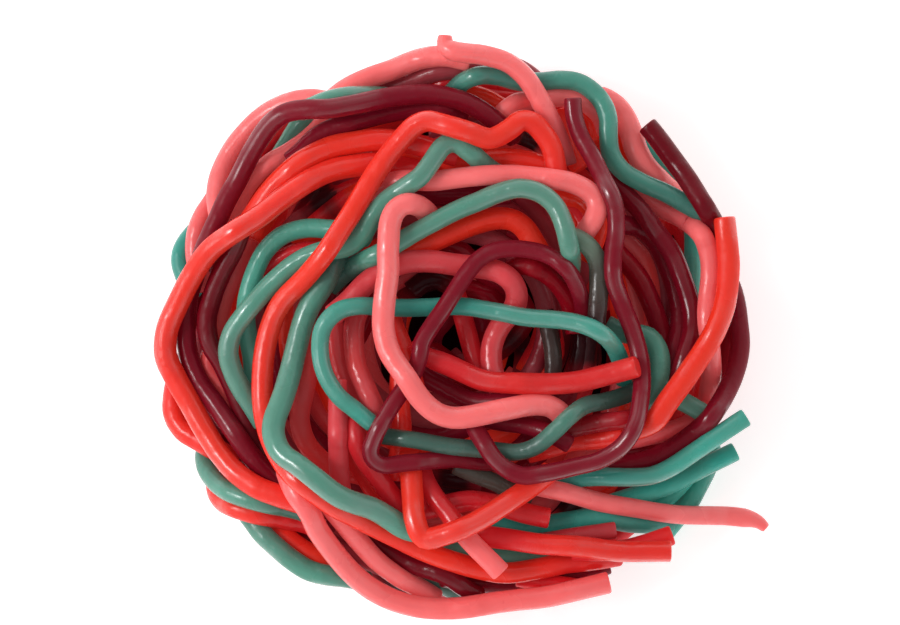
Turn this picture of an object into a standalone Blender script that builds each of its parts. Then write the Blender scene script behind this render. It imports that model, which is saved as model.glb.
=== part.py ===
"""A heap of soft candy laces in four colours, lying tangled on a table.

The heap is one solid: a low dome stands for the buried laces, and the laces that
show are tubes fused onto it and onto each other. Units are metres, +Z is up, and
the origin is the middle of the flat underside.
"""
import bmesh
import bpy
import numpy as np

MM = 0.001

# The dome of buried laces, in millimetres
BED_RADIUS = 48.0
BED_HEIGHT = 19.0
BED_SHOULDER = 2.5
BED_ROUNDNESS = 0.6
HOLLOW_DEPTH = 3.0
HOLLOW_RADIUS = 11.0
CORE_FOOT_RADIUS = 40.0
CORE_BELLY = ((42.6, 1.8), (43.4, 4.2))
CORE_EDGE_RADIUS = 43.2
CORE_PROUD = 0.35
CORE_RINGS = 9
CORE_STEPS = 40

# Laces that run round the foot of the heap: kind, thickness, radius, height,
# first and last angle in degrees, and how many times the radius waves in a turn
SKIRT = (
    ("red", 3.6, 44.0, 1.9, -20, 52, 7),
    ("red", 3.4, 41.4, 1.9, 53, 125, 7),
    ("red", 3.5, 43.9, 1.9, 128, 156, 7),
    ("maroon", 3.4, 44.2, 1.8, 160, 330, 9),
    ("maroon", 3.3, 41.6, 5.0, 60, 122, 8),
    ("maroon", 3.3, 43.9, 5.0, 126, 215, 8),
    ("red", 3.5, 43.8, 5.0, 225, 413, 6),
)
SKIRT_WAVE = 0.6
SKIRT_ANGLE_STEP = 3.0
SKIRT_LOWEST = 1.85

# How the laces lie, in millimetres
ROUTE_STEP = 1.5
SPLINE_STEPS = 12
PRESS = 0.93
OWN_GAP = 8
RUN_GAP = 3
RUN_JUMP = 9
LAYER_RISE = 1.5
LOWEST_LAYER = 3
STACK_LIMIT = 17.0
SETTLE_ROUNDS = 500
CALM_ROUNDS = 400
FALL = 0.12
CALM_FALL = 0.02
UPPER_SHARE = 0.6
BEND_ROUNDS = 4
CALM_BEND_ROUNDS = 2
BEND_SHARE = 0.5
CONTACT_ROUNDS = 3
THIN_WITHIN = 0.5
ROLL_BETWEEN_LACES = 0.38
FLAT_ENOUGH = 0.99999

NODE_NAME = "lace_heap"

# Base colour, roughness and metallic value of each kind of lace
FINISHES = {
    "red": ((0.83, 0.05, 0.03, 1.0), 0.3, 0.0),
    "pink": ((0.86, 0.16, 0.15, 1.0), 0.32, 0.0),
    "rose": ((0.5, 0.06, 0.07, 1.0), 0.34, 0.0),
    "green": ((0.09, 0.33, 0.23, 1.0), 0.3, 0.0),
    "teal": ((0.02, 0.38, 0.3, 1.0), 0.3, 0.0),
    "maroon": ((0.11, 0.005, 0.015, 1.0), 0.24, 0.0),
}
CORE_KIND = "maroon"

# Laces that settle with the rest but lie so deep that the dome stands for them
BURIED = {
    "red_rim_spot", "red_arch_deep", "red_centre_deep", "green_centre_deep", "green_low_deep",
    "green_top_deep", "maroon_hem_c", "maroon_below", "rose_drop_b", "rose_drop_d",
    "maroon_right_deep", "red_strand_b", "maroon_inner", "red_top_low", "maroon_strand_b",
    "red_inner_drop", "red_nook", "red_nook_right", "red_crown", "red_top_spot", "red_inner_twin",
    "red_cut_top", "red_slant_inner", "green_hem_bit", "red_hem_outer",
}

# Laces whose first or last end sticks out of the tangle and stays nearly level
LOOSE_ENDS = {
    "pink_top_end": "first", "maroon_hook": "first", "maroon_cut_end": "first", "red_right": "first",
    "green_centre_ring": "first", "red_bar": "last", "green_end_upper": "last",
    "green_end_lower": "last", "pink_tail": "last", "pink_stub": "last", "pink_cut": "last",
    "pink_skirt": "last", "red_short": "last", "red_low_end": "last", "red_low_twin": "last",
    "maroon_hem_b": "last",
}
LOOSE_REACH = 7.0
LOOSE_SLOPE = 0.06

# Each lace: name, kind, thickness in millimetres, and the points of its route.
# A point is x and y in millimetres seen from above, and how high it lies in the
# tangle, from 0 at the bottom to 10 on top, which says what passes over what.
LACES = (
    ("pink_loop", "pink", 3.7, ((-3.4, 18.2, 5), (-4.9, 19.8, 6.4), (-6.9, 20.6, 7.8),
        (-8.9, 19.9, 8.8), (-10.1, 17.8, 9), (-10.5, 14, 9), (-10.6, 9, 9), (-11.2, 4, 9),
        (-11.3, 0, 9), (-10.3, -4, 9), (-7.7, -8, 9), (-5, -12, 9), (-2.5, -14, 9), (0.5, -14.8, 9),
        (8, -13.6, 9), (13, -12.7, 9), (16, -12.9, 8), (18, -14.2, 6.6), (19, -15.8, 5.6))),
    ("pink_arch", "pink", 3.5, ((-14, 22.6, 3.4), (-11, 23.9, 4.4), (-8, 24.5, 4.6), (-5, 24.4, 5),
        (-2.5, 24.4, 6), (0, 24.7, 7), (4, 25.2, 7.6), (9, 25.4, 7.6), (15, 24.9, 7.6), (20, 24, 7.6),
        (23.3, 22, 7.4), (24, 20, 7.2), (23.4, 18, 6.4), (21.8, 15.5, 5), (20, 13, 3.8))),
    ("pink_inner", "pink", 3.7, ((-20, 2, 4), (-17, 4.6, 5.2), (-13.5, 8, 6), (-8.5, 10.7, 6.2),
        (-4, 11.1, 6.3), (0, 10.6, 6.4), (5, 10, 6.6), (7.8, 9.3, 6.8), (10, 7.6, 6.8),
        (10.8, 5.4, 6.6), (10.2, 3.2, 6.3), (8.6, 1.2, 6.2), (7.3, -1, 6.3), (6.5, -3.6, 6.2),
        (6.8, -7.2, 5), (8, -10.5, 3.6))),
    ("pink_right", "pink", 3.4, ((28.5, 25, 3), (31.5, 22.4, 5), (35, 20, 6.4), (39, 17.9, 7),
        (41.6, 15.4, 6.8), (42.8, 12, 6.6), (42.9, 8, 6.4), (42.3, 2, 5.4), (42.9, -3, 4.6),
        (43.2, -7, 4.2), (42.9, -11, 4), (42.4, -14.6, 3.4))),
    ("pink_top_end", "pink", 3.4, ((-1.1, 48.6, 7.6), (-0.9, 46.6, 7.2), (1.5, 45.7, 7), (5, 45.3, 7),
        (9, 44.2, 7), (12, 41.9, 7), (14.2, 38.6, 6.8), (15.9, 35.5, 6), (17.3, 32.6, 5),
        (18.3, 30, 4.2), (19.2, 27, 3.2))),
    ("pink_slant", "pink", 4, ((24.5, 38.5, 3), (26.5, 37.6, 3.6), (28.4, 35.8, 4), (29.7, 33, 4),
        (30.6, 30, 4), (32.1, 27.2, 4), (34.6, 24.5, 4), (37.6, 21.7, 3.6))),
    ("pink_top_inner", "pink", 3.3, ((13.5, 37.4, 4), (16.5, 38.3, 5), (20, 38.4, 5), (22.8, 37.2, 5),
        (24.8, 35.2, 4.6), (25.8, 32.4, 4))),
    ("pink_crown", "pink", 3.6, ((-20.4, 37.6, 3), (-17.4, 39.9, 4), (-14, 41.6, 5.2), (-10, 43, 5.8),
        (-8, 43.8, 6), (-5, 44.8, 6), (-1, 45.2, 5.8), (3, 44.4, 5))),
    ("pink_nub", "pink", 3.2, ((7.2, 33, 3.6), (8, 35.2, 4.8), (9.5, 36.8, 5), (11.5, 37.8, 4.4),
        (14, 37.8, 3.4))),
    ("pink_shoulder", "pink", 3.5, ((-18.6, 36.9, 3), (-22, 37.9, 3.6), (-26, 37.8, 4), (-30, 36.3, 4),
        (-33.8, 33.3, 4), (-36.8, 29.5, 4), (-38.7, 25.6, 4), (-39.3, 22.4, 4), (-39, 19.4, 3.4),
        (-38.2, 16, 3))),
    ("pink_notch", "pink", 3.3, ((-39, 23, 2.6), (-40.3, 20.9, 3.2), (-41.8, 18.6, 3.6),
        (-42.8, 15.8, 3.6), (-43, 13, 3.6), (-42.5, 10, 3.6), (-41.2, 6.5, 3))),
    ("pink_cut", "pink", 3.4, ((-0.2, -31.5, 5.2), (2.5, -34.8, 7), (5, -37.4, 7.8), (8.2, -40.6, 8))),
    ("pink_tail", "pink", 3.2, ((11, -25.2, 5.6), (14, -26.2, 6.2), (18, -27.1, 6.6), (24, -28.8, 6.8),
        (30, -30, 6.8), (38, -31.2, 6.4), (46, -31.5, 5.6), (49.2, -31.9, 5.2), (51.3, -32.5, 5),
        (52.7, -33.6, 4.8))),
    ("pink_stub", "pink", 2.8, ((14, -35.6, 4.4), (18, -35, 5.2), (22, -34.3, 5.8), (27.3, -33.6, 6))),
    ("pink_skirt", "pink", 3.8, ((-27.5, -23.5, 5.2), (-26, -27, 6), (-23.6, -30.5, 6.4),
        (-22.4, -33.2, 6.4), (-20.6, -36, 6.4), (-17.4, -40, 6.2), (-14.8, -42.4, 6), (-10.5, -45, 5.8),
        (-6, -46.4, 5.6), (0, -46.7, 5.4), (8, -45.6, 5.4), (16, -44.7, 5.2), (21, -43.6, 5),
        (26.2, -42.4, 5))),
    ("pink_skirt_twin", "pink", 3.4, ((-21.5, -27, 4.4), (-20, -29.8, 5), (-17.7, -32.8, 5.2),
        (-15, -36, 5.2), (-12.2, -39, 5.2), (-8.5, -41.7, 5), (-5, -43.6, 4.6), (-2.6, -45.2, 3.8))),
    ("pink_dusty", "pink", 3.2, ((29, -18.6, 3.4), (33, -17.9, 4.4), (37.5, -16.8, 4.6),
        (40, -15.5, 4.4), (42.2, -13, 3.4))),
    ("pink_deep", "pink", 3.1, ((-36.6, 18.4, 2.6), (-35.4, 21.6, 3), (-33.2, 24.8, 3.8),
        (-30.3, 27.6, 4.2), (-27.4, 29.3, 4), (-24.6, 31.2, 3.8), (-22.4, 33.2, 3.4), (-20.6, 35.4, 3),
        (-19.5, 37.6, 2.6))),
    ("red_bow", "red", 3.8, ((-3.5, 25.4, 4.2), (-8, 26.6, 5), (-12, 27.3, 5.6), (-16, 27, 6),
        (-20, 26.2, 6.6), (-24, 24.3, 7), (-28, 21.5, 7), (-32, 18.5, 7), (-36, 16, 7), (-40, 13, 7),
        (-43, 9, 7), (-45.6, 4, 7), (-47.5, -0.5, 7), (-47.7, -4.5, 7), (-46.2, -8, 7), (-44, -12, 7),
        (-39.3, -20, 7), (-36.2, -23.8, 7), (-32.6, -26.3, 7), (-29, -27.7, 6.4), (-25.5, -28.8, 5),
        (-22.5, -29.8, 4))),
    ("red_top_arc", "red", 3.7, ((-34.4, 16.8, 3), (-32.6, 19.4, 3.6), (-30.4, 22.4, 4.6),
        (-28, 25, 5.2), (-24.4, 28, 5.4), (-20, 30.1, 5.6), (-16, 30.9, 5.8), (-12, 31.3, 5.6),
        (-7.5, 30.8, 5.2), (-3, 29.6, 4.6), (1, 28.4, 4))),
    ("red_top_low", "red", 3.6, ((-13, 29.4, 3.8), (-9.5, 29.7, 4.2), (-6, 28.8, 4.6), (-2, 28, 4.6),
        (3, 27.4, 4.6), (7, 28.2, 4.4), (12, 27.9, 4.4), (16, 26.8, 4))),
    ("red_long", "red", 3.6, ((17.4, 25.5, 5), (17, 28, 6.2), (16.3, 30.4, 7), (15, 32.4, 7.4),
        (13.3, 34.1, 7.6), (11.6, 34.5, 7.6), (9.8, 33.2, 7.4), (8, 32, 7.4), (6, 31.4, 7.6),
        (3, 32.4, 8), (-1, 33.6, 8), (-4, 34.3, 8), (-6, 33.6, 8), (-7.8, 31.9, 8), (-11, 28, 8),
        (-13.6, 24, 8), (-18.6, 16, 8), (-21.2, 12, 8), (-24.6, 8, 8), (-28.4, 4, 8), (-30.2, 0, 8),
        (-31.2, -5, 8), (-31.5, -10, 8), (-30.8, -16, 7.4), (-29.4, -20, 6.8), (-26.7, -24, 6.8),
        (-23.1, -27, 6.8), (-19.7, -29.4, 6.8), (-12, -33.4, 6.8), (-4, -37.3, 6.8), (0, -38.8, 6.8),
        (4, -40, 6.8), (9, -40.8, 6.4), (14, -40.2, 5.4), (19, -39.2, 4.8), (24, -38.6, 4.2),
        (28, -38, 3.6))),
    ("red_bar", "red", 3.6, ((-6.6, -2.6, 6), (-4.2, -4.6, 7.2), (-1, -6, 7.8), (2, -7.4, 8),
        (5, -8.6, 8.2), (12, -9.2, 8.4), (20, -9, 8.6), (26, -7.6, 9.2), (30.7, -6.3, 9.6))),
    ("red_right", "red", 3.8, ((45.2, 18.4, 6.6), (45.7, 14, 7), (45.9, 10, 7), (45.2, 4, 7),
        (43.8, 0, 7.2), (41.5, -4, 7.4), (38.8, -8, 7.6), (35.7, -12.3, 7.6), (33.4, -15.6, 7.4),
        (31.5, -16.9, 6.9), (29.7, -17.7, 6.4))),
    ("red_hook", "red", 3.8, ((-12, 10.8, 4.6), (-8, 12.5, 5.8), (-4, 14.2, 6.2), (0, 15.9, 6.4),
        (4, 17.4, 6.8), (7.6, 18.2, 7), (10.4, 17.8, 7), (12.2, 16.4, 6.8), (13.5, 14.4, 6),
        (14.8, 12, 4.6))),
    ("red_centre_deep", "red", 3.2, ((0.6, 6, 4.4), (1.5, 3, 4.6), (2.6, -1, 4.8), (3.8, -5.5, 4.6),
        (4.6, -9, 4))),
    ("red_vee", "red", 3.7, ((-7, -20.5, 5.2), (-6.8, -24, 6.8), (-6.5, -28, 7.8), (-6.1, -32, 8.4),
        (-4.6, -34.8, 8.8), (-1.5, -34.3, 8.8), (4, -32, 8.8), (8, -29.6, 8.6), (12, -27, 8.2),
        (14.5, -25.2, 7.2), (16.5, -23.6, 6))),
    ("red_short", "red", 3.5, ((-7.4, -30.8, 4), (-4.5, -30.2, 4.8), (-1, -29.4, 5.4), (3, -28.8, 5.8),
        (8, -29.5, 6), (12, -30.7, 6), (16.2, -31.6, 6))),
    ("red_low_end", "red", 3.6, ((4, -34.4, 4), (8, -34.9, 5), (14, -35.8, 5.4), (20, -36.2, 5.6),
        (28, -37.1, 6), (36.4, -37.1, 6))),
    ("red_low_twin", "red", 3.4, ((20, -37, 4.4), (24, -37.2, 4.8), (28, -37, 5), (31, -36.4, 5),
        (34, -35.5, 5), (36.7, -34.5, 5))),
    ("red_hem", "red", 3.5, ((-32, -31.8, 3), (-29.5, -33.6, 3.4), (-27.2, -35.4, 3.6),
        (-24.6, -37.2, 3.7), (-21.5, -38.6, 3.7), (-17, -40.5, 3.2))),
    ("red_hem_outer", "red", 3.5, ((-39.4, -25.2, 2.8), (-39.4, -27.3, 3), (-38, -29.1, 3.3),
        (-35, -30.3, 3.5), (-31.5, -31.2, 3.6), (-28, -31.9, 3.7), (-25, -32.4, 3.7),
        (-21.5, -33.6, 3.4))),
    ("red_bulge", "red", 4, ((-45.6, -7.6, 3.4), (-46.3, -11, 4), (-46.4, -14.2, 4.4),
        (-45, -16.9, 4.6), (-42.3, -18.6, 4.8), (-39, -20.6, 4.4), (-36, -22.6, 3.8))),
    ("red_left_deep", "rose", 3.4, ((-33.6, 15, 2.2), (-35, 12, 2.6), (-36.6, 8.6, 3),
        (-38.2, 4.6, 3.4), (-38.9, 1, 3.6), (-39.2, -2, 3.6), (-40.4, -6, 3.6), (-38.5, -9.4, 3.6),
        (-37, -13, 3.4), (-35.5, -16.5, 3))),
    ("red_strand_a", "red", 3.2, ((17, -17.6, 4), (20, -16.6, 4.4), (24, -15.8, 4.8), (28.5, -15.2, 5),
        (32.5, -14.6, 4.6))),
    ("red_strand_b", "red", 3.2, ((12.5, -21, 3), (16.5, -20, 3.8), (20, -18.9, 4.2), (25, -18.5, 4.4),
        (28.5, -17.6, 4.2))),
    ("red_inner_slant", "red", 3.5, ((-15.2, -13, 4), (-15.9, -16, 4.8), (-15.5, -19.5, 5.4),
        (-13.6, -23, 5.8), (-11.4, -26, 5.8), (-9.6, -28.6, 5.4), (-8.3, -31, 4.6))),
    ("red_inner_drop", "red", 3.3, ((-8.6, -7, 4.4), (-8.8, -10, 4.8), (-8.5, -13.5, 5),
        (-8.3, -17, 5.2), (-8.8, -21, 5.2), (-9.8, -25, 4.8))),
    ("red_inner_left", "red", 3.3, ((-10.6, 5, 4.6), (-9.8, 1, 5.6), (-8.2, -3, 6), (-7, -6.4, 5.4),
        (-6, -10, 4.4))),
    ("red_rim_spot", "red", 3.3, ((19.6, 37, 2.8), (22, 35.8, 3.4), (23.6, 33.6, 3.6),
        (24.4, 30.6, 3))),
    ("red_arch_deep", "red", 3.4, ((15.5, 22.4, 3.4), (18.5, 22, 4), (21.5, 21.4, 4.2), (23.6, 19, 4.4),
        (24.1, 16.5, 4.4), (23.4, 13.8, 4), (22, 11.5, 3.2))),
    ("red_gap", "red", 3, ((-34, 5, 2.8), (-31.8, 8.6, 4.4), (-29, 11.2, 5), (-25.6, 12.8, 4.4),
        (-22, 13, 3.4))),
    ("red_skirt_bit", "red", 2.8, ((10.8, -41.8, 3.8), (13.6, -42.2, 4.6), (16.6, -42.6, 4.9),
        (19.6, -43, 4.6), (22.5, -43.6, 4))),
    ("red_inner_twin", "red", 3.3, ((-18, -17, 3), (-16.5, -21, 3.4), (-14, -25.5, 3.6),
        (-11.5, -29.5, 3.4))),
    ("red_cut_top", "red", 3.3, ((-5.4, -22, 4.6), (-4.6, -25, 5.6), (-3, -27.8, 6.4), (-0.5, -31, 6.4),
        (1, -33.5, 5.6))),
    ("red_slant_inner", "red", 3.2, ((27, 36.5, 3), (28.2, 33.5, 3.4), (29.3, 30.5, 3.4), (31, 28, 3.4),
        (33, 26, 3))),
    ("red_top_spot", "red", 3, ((-32.5, 29.5, 2.6), (-30.6, 31.4, 3), (-28.6, 33.4, 3),
        (-26, 35, 2.6))),
    ("red_crown", "red", 3.2, ((-4.5, 39, 3), (-1.8, 40.5, 3.8), (1, 42, 3.8), (4, 42.6, 3.2))),
    ("red_nook", "red", 3.3, ((0.5, 39.4, 3), (3.6, 38.9, 3.4), (6.6, 37.8, 3.4), (9.5, 36, 3))),
    ("red_nook_right", "red", 3.3, ((17.6, 36.2, 3), (18.8, 33, 3.4), (19.8, 29.6, 3.4),
        (21.4, 26.4, 3.2))),
    ("rose_drop_a", "rose", 3.5, ((-14.6, 4.6, 3.6), (-16, 1.3, 4.2), (-16.3, -2, 4.4),
        (-15.8, -6, 4.4), (-14.3, -10, 4.4), (-12.6, -13.8, 4.2), (-11, -18, 3.6))),
    ("rose_drop_b", "rose", 3.3, ((-19.7, 2, 3.4), (-19.5, -1, 3.8), (-19, -5, 3.8), (-17.8, -9, 3.6),
        (-16.6, -12.6, 3.2))),
    ("rose_drop_c", "pink", 3.3, ((-19, -8.5, 3.8), (-18.9, -12, 4.6), (-18.9, -17, 5.6),
        (-18.8, -21, 5.6), (-18.6, -25, 5), (-18.2, -28.5, 4))),
    ("rose_drop_d", "red", 3.4, ((-22.6, 0, 3), (-23.5, -5, 3.6), (-24.5, -10, 3.8), (-25.4, -15, 3.8),
        (-24.3, -19, 3.8), (-21, -22.6, 3.6), (-17.5, -25.6, 3.2))),
    ("green_zigzag", "green", 3.4, ((9.5, 24.4, 4.8), (6.8, 26, 5.8), (4.8, 27.6, 6.6), (2.4, 29.6, 7),
        (0.3, 30.8, 7), (-1.5, 30.1, 7), (-3.2, 27.8, 7), (-5.2, 25.1, 7), (-8, 23.2, 7), (-11, 21, 7),
        (-13, 18.6, 7), (-14.9, 15.4, 7), (-17.6, 13.4, 6.8), (-22, 12.6, 6.6), (-26, 10.7, 7),
        (-29.5, 7.8, 7), (-32.3, 4.8, 7), (-34.8, 1.8, 7), (-36.6, -1, 6.8), (-37.2, -4, 6.6),
        (-36.3, -7.5, 6.4), (-34.8, -10.5, 6), (-33.2, -13, 5.4), (-31.4, -16, 4.4))),
    ("green_twin", "green", 3.2, ((-13.6, 14.8, 4.8), (-17, 16, 5.6), (-20.5, 16.4, 6),
        (-24.5, 16.5, 6.4), (-28.2, 15.4, 6.4), (-30.9, 13, 6.4), (-32.5, 10, 6.2), (-33.6, 6.8, 5.6),
        (-34.3, 3, 5), (-34, -1, 5), (-33.4, -4.5, 4.8), (-33, -9, 4.2))),
    ("green_arch", "green", 3.3, ((-20.5, 6.6, 4.6), (-18, 9, 5.4), (-15.5, 10.8, 6.2),
        (-12.5, 12.2, 7), (-8.8, 14.2, 7.4), (-6, 15.9, 7.8), (-3, 17.6, 8), (0, 19.1, 8.2),
        (4, 20.8, 8.4), (8, 22.4, 8.6), (11.5, 23.1, 8.6), (14.8, 22.2, 8.6), (17, 20.2, 8.4),
        (18.4, 17.4, 7.8), (19.2, 14.4, 6.6), (19.8, 11.6, 5.2), (20.1, 8.8, 4))),
    ("green_arch_tail", "green", 3.2, ((18.4, 15.6, 4.6), (20.5, 14.9, 5.4), (22.6, 13.5, 6),
        (24.1, 11, 6), (24.3, 7, 5.8), (24.1, 3, 5.2), (23.6, -1, 4.4))),
    ("green_wide", "green", 3.8, ((-18.4, 13.4, 3.6), (-20, 10, 5), (-21.2, 7.4, 6.4),
        (-23.6, 3.6, 7.6), (-25, 0, 8.2), (-26, -4, 8.6), (-27, -8, 8.6), (-28.2, -12, 8.8),
        (-29.3, -15, 9), (-29.5, -17.6, 9), (-28.3, -20.5, 9), (-25.4, -22.6, 9), (-22.8, -24.7, 8.8),
        (-20.5, -26.6, 8.8), (-18.2, -28.1, 8.6), (-15.5, -29.1, 8.6), (-13, -30, 8.4),
        (-10.3, -31.6, 8), (-7.8, -33.3, 7.6), (-5.6, -35, 7))),
    ("green_right", "green", 3.5, ((25.6, 0.5, 4.6), (28, -0.7, 5.6), (30.3, -1, 6), (32.6, -1.6, 6.4),
        (34.2, -3.8, 6.6), (34.5, -7, 6.4), (33.6, -10.2, 6), (31.8, -13, 4.6), (30, -16, 3.4))),
    ("green_top_wave", "green", 3.2, ((-2, 37.4, 3.6), (0, 39.2, 4.8), (2, 41, 5.6), (5, 42, 6),
        (8, 41.8, 6.2), (11, 41, 6.2), (14.5, 41, 6.2), (18, 41.3, 6.4), (21.5, 40.7, 6.4),
        (24.4, 38.4, 6.4), (25.8, 35.5, 6.4), (26, 32, 6.4), (26.4, 29, 6.4), (28.2, 26.3, 6.4),
        (31.5, 24.3, 6), (35.5, 22.5, 5.2), (38.4, 20.9, 4.6), (40.8, 19.5, 4), (42.8, 18.2, 3.4))),
    ("green_rim_strip", "green", 3.1, ((31.5, 31.5, 2.8), (34.2, 28.8, 3.4), (36.8, 25.6, 3.6),
        (39, 22, 3.6), (40.2, 17, 3.6), (40.3, 11, 3.8), (40.2, 6, 3.6), (40, 0, 3))),
    ("green_end_upper", "green", 3.1, ((16, -25.6, 4.6), (20, -25, 5.4), (24, -24.7, 5.8),
        (33, -24.6, 6), (36.4, -23.2, 6), (40, -20.8, 6), (44, -18, 6), (48.9, -14.8, 5.8))),
    ("green_end_lower", "teal", 3.2, ((26, -29.4, 4), (29.4, -28.4, 4.8), (32.5, -27.5, 5.2),
        (36, -26.3, 5.4), (39.5, -24.6, 5.4), (43, -22.8, 5.4), (47.4, -20.6, 5.2))),
    ("green_ring", "green", 3.3, ((43.4, -19.5, 2.6), (42.9, -23, 3), (41.6, -26, 3.2),
        (39.6, -29.6, 3.2), (37.5, -32.2, 3.2), (35.5, -34.6, 3), (34, -36.6, 2.6))),
    ("green_low_right", "green", 3.4, ((3, -31.6, 3.4), (7, -32.7, 4.4), (12, -33.3, 4.8),
        (16, -32.8, 5), (20, -32.2, 5), (25, -31.6, 4.8), (30, -32.5, 4.6), (34, -32.7, 4.2),
        (36.6, -32.8, 3.6))),
    ("green_hem", "green", 3.5, ((-34.6, -30.4, 2.2), (-33, -32.4, 2.6), (-31.5, -34.3, 3.6),
        (-29.2, -36.5, 4.4), (-26.8, -38.5, 4.4), (-24, -40.3, 4.4), (-21, -41.2, 4.2),
        (-17.5, -41.6, 3.8), (-14, -42.4, 3.2))),
    ("green_left_low", "green", 3.3, ((-41, -19.8, 3.2), (-41.4, -22, 4), (-40.6, -24.3, 4.4),
        (-39.1, -26.1, 4.6), (-37, -27.4, 4.6), (-34, -28.4, 4.6), (-30.5, -29.3, 4.6), (-27, -30, 4.4),
        (-24, -30.9, 3.9))),
    ("green_centre_ring", "green", 3, ((-13.1, -15.9, 7), (-14.6, -14.7, 7.2), (-16.4, -13.2, 7.4),
        (-18.6, -11.4, 7.4), (-20.8, -8, 7.4), (-21.8, -4, 7.4), (-21.3, 0, 7.4), (-19, 2.7, 7.4),
        (-16, 3.6, 7.4), (-12, 3.5, 7.4), (-8, 3.3, 7.4), (-3, 3.5, 7.4), (2, 3.6, 7.4), (8, 2.6, 7.4),
        (12, 1.8, 7.4), (20, 1, 7.4), (24, -0.5, 7.2), (26.5, -2.6, 7), (28, -5.4, 6.4),
        (28.6, -9, 5.4))),
    ("green_under_loop", "green", 2.9, ((-13.5, -17.6, 5), (-10.5, -18, 5.8), (-6, -18.6, 6.2),
        (0, -19.6, 6.4), (4, -20, 6.6), (8, -20.3, 7), (11, -20.5, 7.4), (14, -19.5, 8), (17, -17, 8.8),
        (19.5, -14.6, 9), (22.2, -12.8, 8.6), (26, -12, 7.6), (30, -10.6, 6.8), (33, -8.4, 5.4))),
    ("green_centre_deep", "green", 3, ((15.4, 3, 2.8), (16, 0, 3.2), (16.6, -3, 3.6), (16.8, -7, 3.4),
        (16.4, -11, 3))),
    ("green_patch", "green", 3.2, ((33.4, -9.4, 3.4), (36, -11, 4), (39.5, -12.8, 4.4),
        (43, -14.8, 4.2))),
    ("green_low_deep", "green", 3, ((0.5, -22.8, 3), (4, -24.4, 4), (7, -25.6, 4.2), (10, -27.2, 4),
        (13, -28.6, 3.8))),
    ("green_top_edge", "green", 3.2, ((-25.5, 35.8, 3.2), (-22.6, 37.1, 4.2), (-20, 38, 4.6),
        (-17.5, 38.5, 4.6), (-14, 38.7, 4.6), (-10, 38.4, 4))),
    ("green_top_deep", "green", 3.7, ((-21.5, 37.2, 2.6), (-24, 35.3, 3.4), (-25.8, 33, 3.6),
        (-27.4, 30.4, 3.4), (-29.6, 27, 2.6))),
    ("green_low_dark", "green", 3.6, ((-7, -34, 3), (-3, -36.2, 4.6), (1, -37.4, 5), (5.4, -38, 4.8),
        (10, -38.4, 4.4), (15, -38.3, 4), (20, -38.2, 3.6), (24, -37.8, 3.2))),
    ("green_ring_mid", "green", 3.2, ((40.8, -22.6, 3), (38.9, -25.4, 3.6), (36.4, -28, 3.8),
        (33.4, -30.6, 3.4), (30, -33, 3))),
    ("green_hem_bit", "green", 3.2, ((-5, -41, 2.8), (-1.5, -42.9, 3.8), (1.5, -44.6, 3.8),
        (4.5, -46, 3))),
    ("green_ring_inner", "green", 3.2, ((42.5, -21.5, 2.8), (41, -25, 3), (38.6, -28.4, 3),
        (36, -31.5, 3))),
    ("teal_left_edge", "teal", 3.2, ((-42.8, 16.4, 2.6), (-44, 15, 3), (-45.2, 13, 3), (-45.4, 11, 3),
        (-44.7, 8.6, 3), (-43.2, 5.2, 2.6))),
    ("maroon_right_deep", "maroon", 3.4, ((25, 15, 2.6), (28, 12, 3.2), (31, 8.5, 3.4), (33, 4.5, 3.6),
        (34.6, 0, 3.6), (36, -5, 3.4), (36.6, -10, 3))),
    ("maroon_top", "maroon", 3.4, ((10.5, 31.5, 4.4), (8, 33.6, 5.2), (5, 36, 5.8), (1, 38, 6),
        (-4, 38.8, 6.2), (-10, 38.3, 6.4), (-16, 37.1, 6.4), (-20, 36.4, 6.4), (-24, 36.2, 6.4),
        (-27.2, 35.8, 6.4), (-29.6, 34.3, 6.4), (-31.6, 31.9, 6.4), (-33.4, 29, 6.4),
        (-35.2, 25.5, 6.4), (-37.1, 22, 6.2), (-38.8, 18.5, 6), (-40.4, 15, 5.6), (-42.2, 10.5, 4.8),
        (-43.8, 6, 4.8), (-44.4, 0, 5), (-44, -4, 5.2), (-42.3, -8.5, 5.4), (-39.5, -12.5, 5.6),
        (-34, -20.5, 5.8), (-31, -24, 5.8), (-28, -26.8, 5.2), (-25, -29, 4.4))),
    ("maroon_top_twin", "maroon", 3.4, ((-27, 27.6, 2.8), (-24.8, 29.6, 4), (-22.6, 31.7, 5),
        (-20, 33.1, 5.4), (-14, 35, 5.2), (-8, 36.3, 4.8), (-3, 36.8, 4.6), (2, 35.4, 4))),
    ("maroon_left", "maroon", 3.4, ((-35.2, 16, 3.6), (-36.4, 12.8, 4.2), (-38.4, 9, 4.6),
        (-40, 5, 4.8), (-40.8, 1, 5), (-40.3, -2.5, 5.2), (-38.3, -6, 5.2), (-36.4, -10, 5.2),
        (-34.8, -14, 5), (-33.3, -18, 4.6), (-31.6, -21.4, 4))),
    ("maroon_centre", "maroon", 2.9, ((21.4, -0.4, 2.8), (21.7, 3.4, 4.6), (21, 6.2, 6.8), (19.6, 9, 8),
        (17, 11.4, 8.6), (14, 12.7, 8.7), (10, 13.2, 8.7), (7, 12.8, 8.7), (4.6, 11.5, 8.7),
        (2.6, 9.2, 8.8), (0.6, 6.3, 8.8), (-1.5, 3, 8.9), (-3.5, 0, 8.8), (-5, -2.6, 8.8),
        (-5.4, -5, 8.4), (-6.6, -8, 7.4), (-9.4, -12, 7.2), (-11.2, -15, 7.8), (-12.9, -18.5, 8.2),
        (-13.5, -21, 8.4), (-11.6, -22.6, 8.4), (-8, -22.3, 8.4), (-4, -22, 8.2), (0, -21.7, 7.8),
        (5, -22.2, 6), (9, -22.4, 4.6))),
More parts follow.
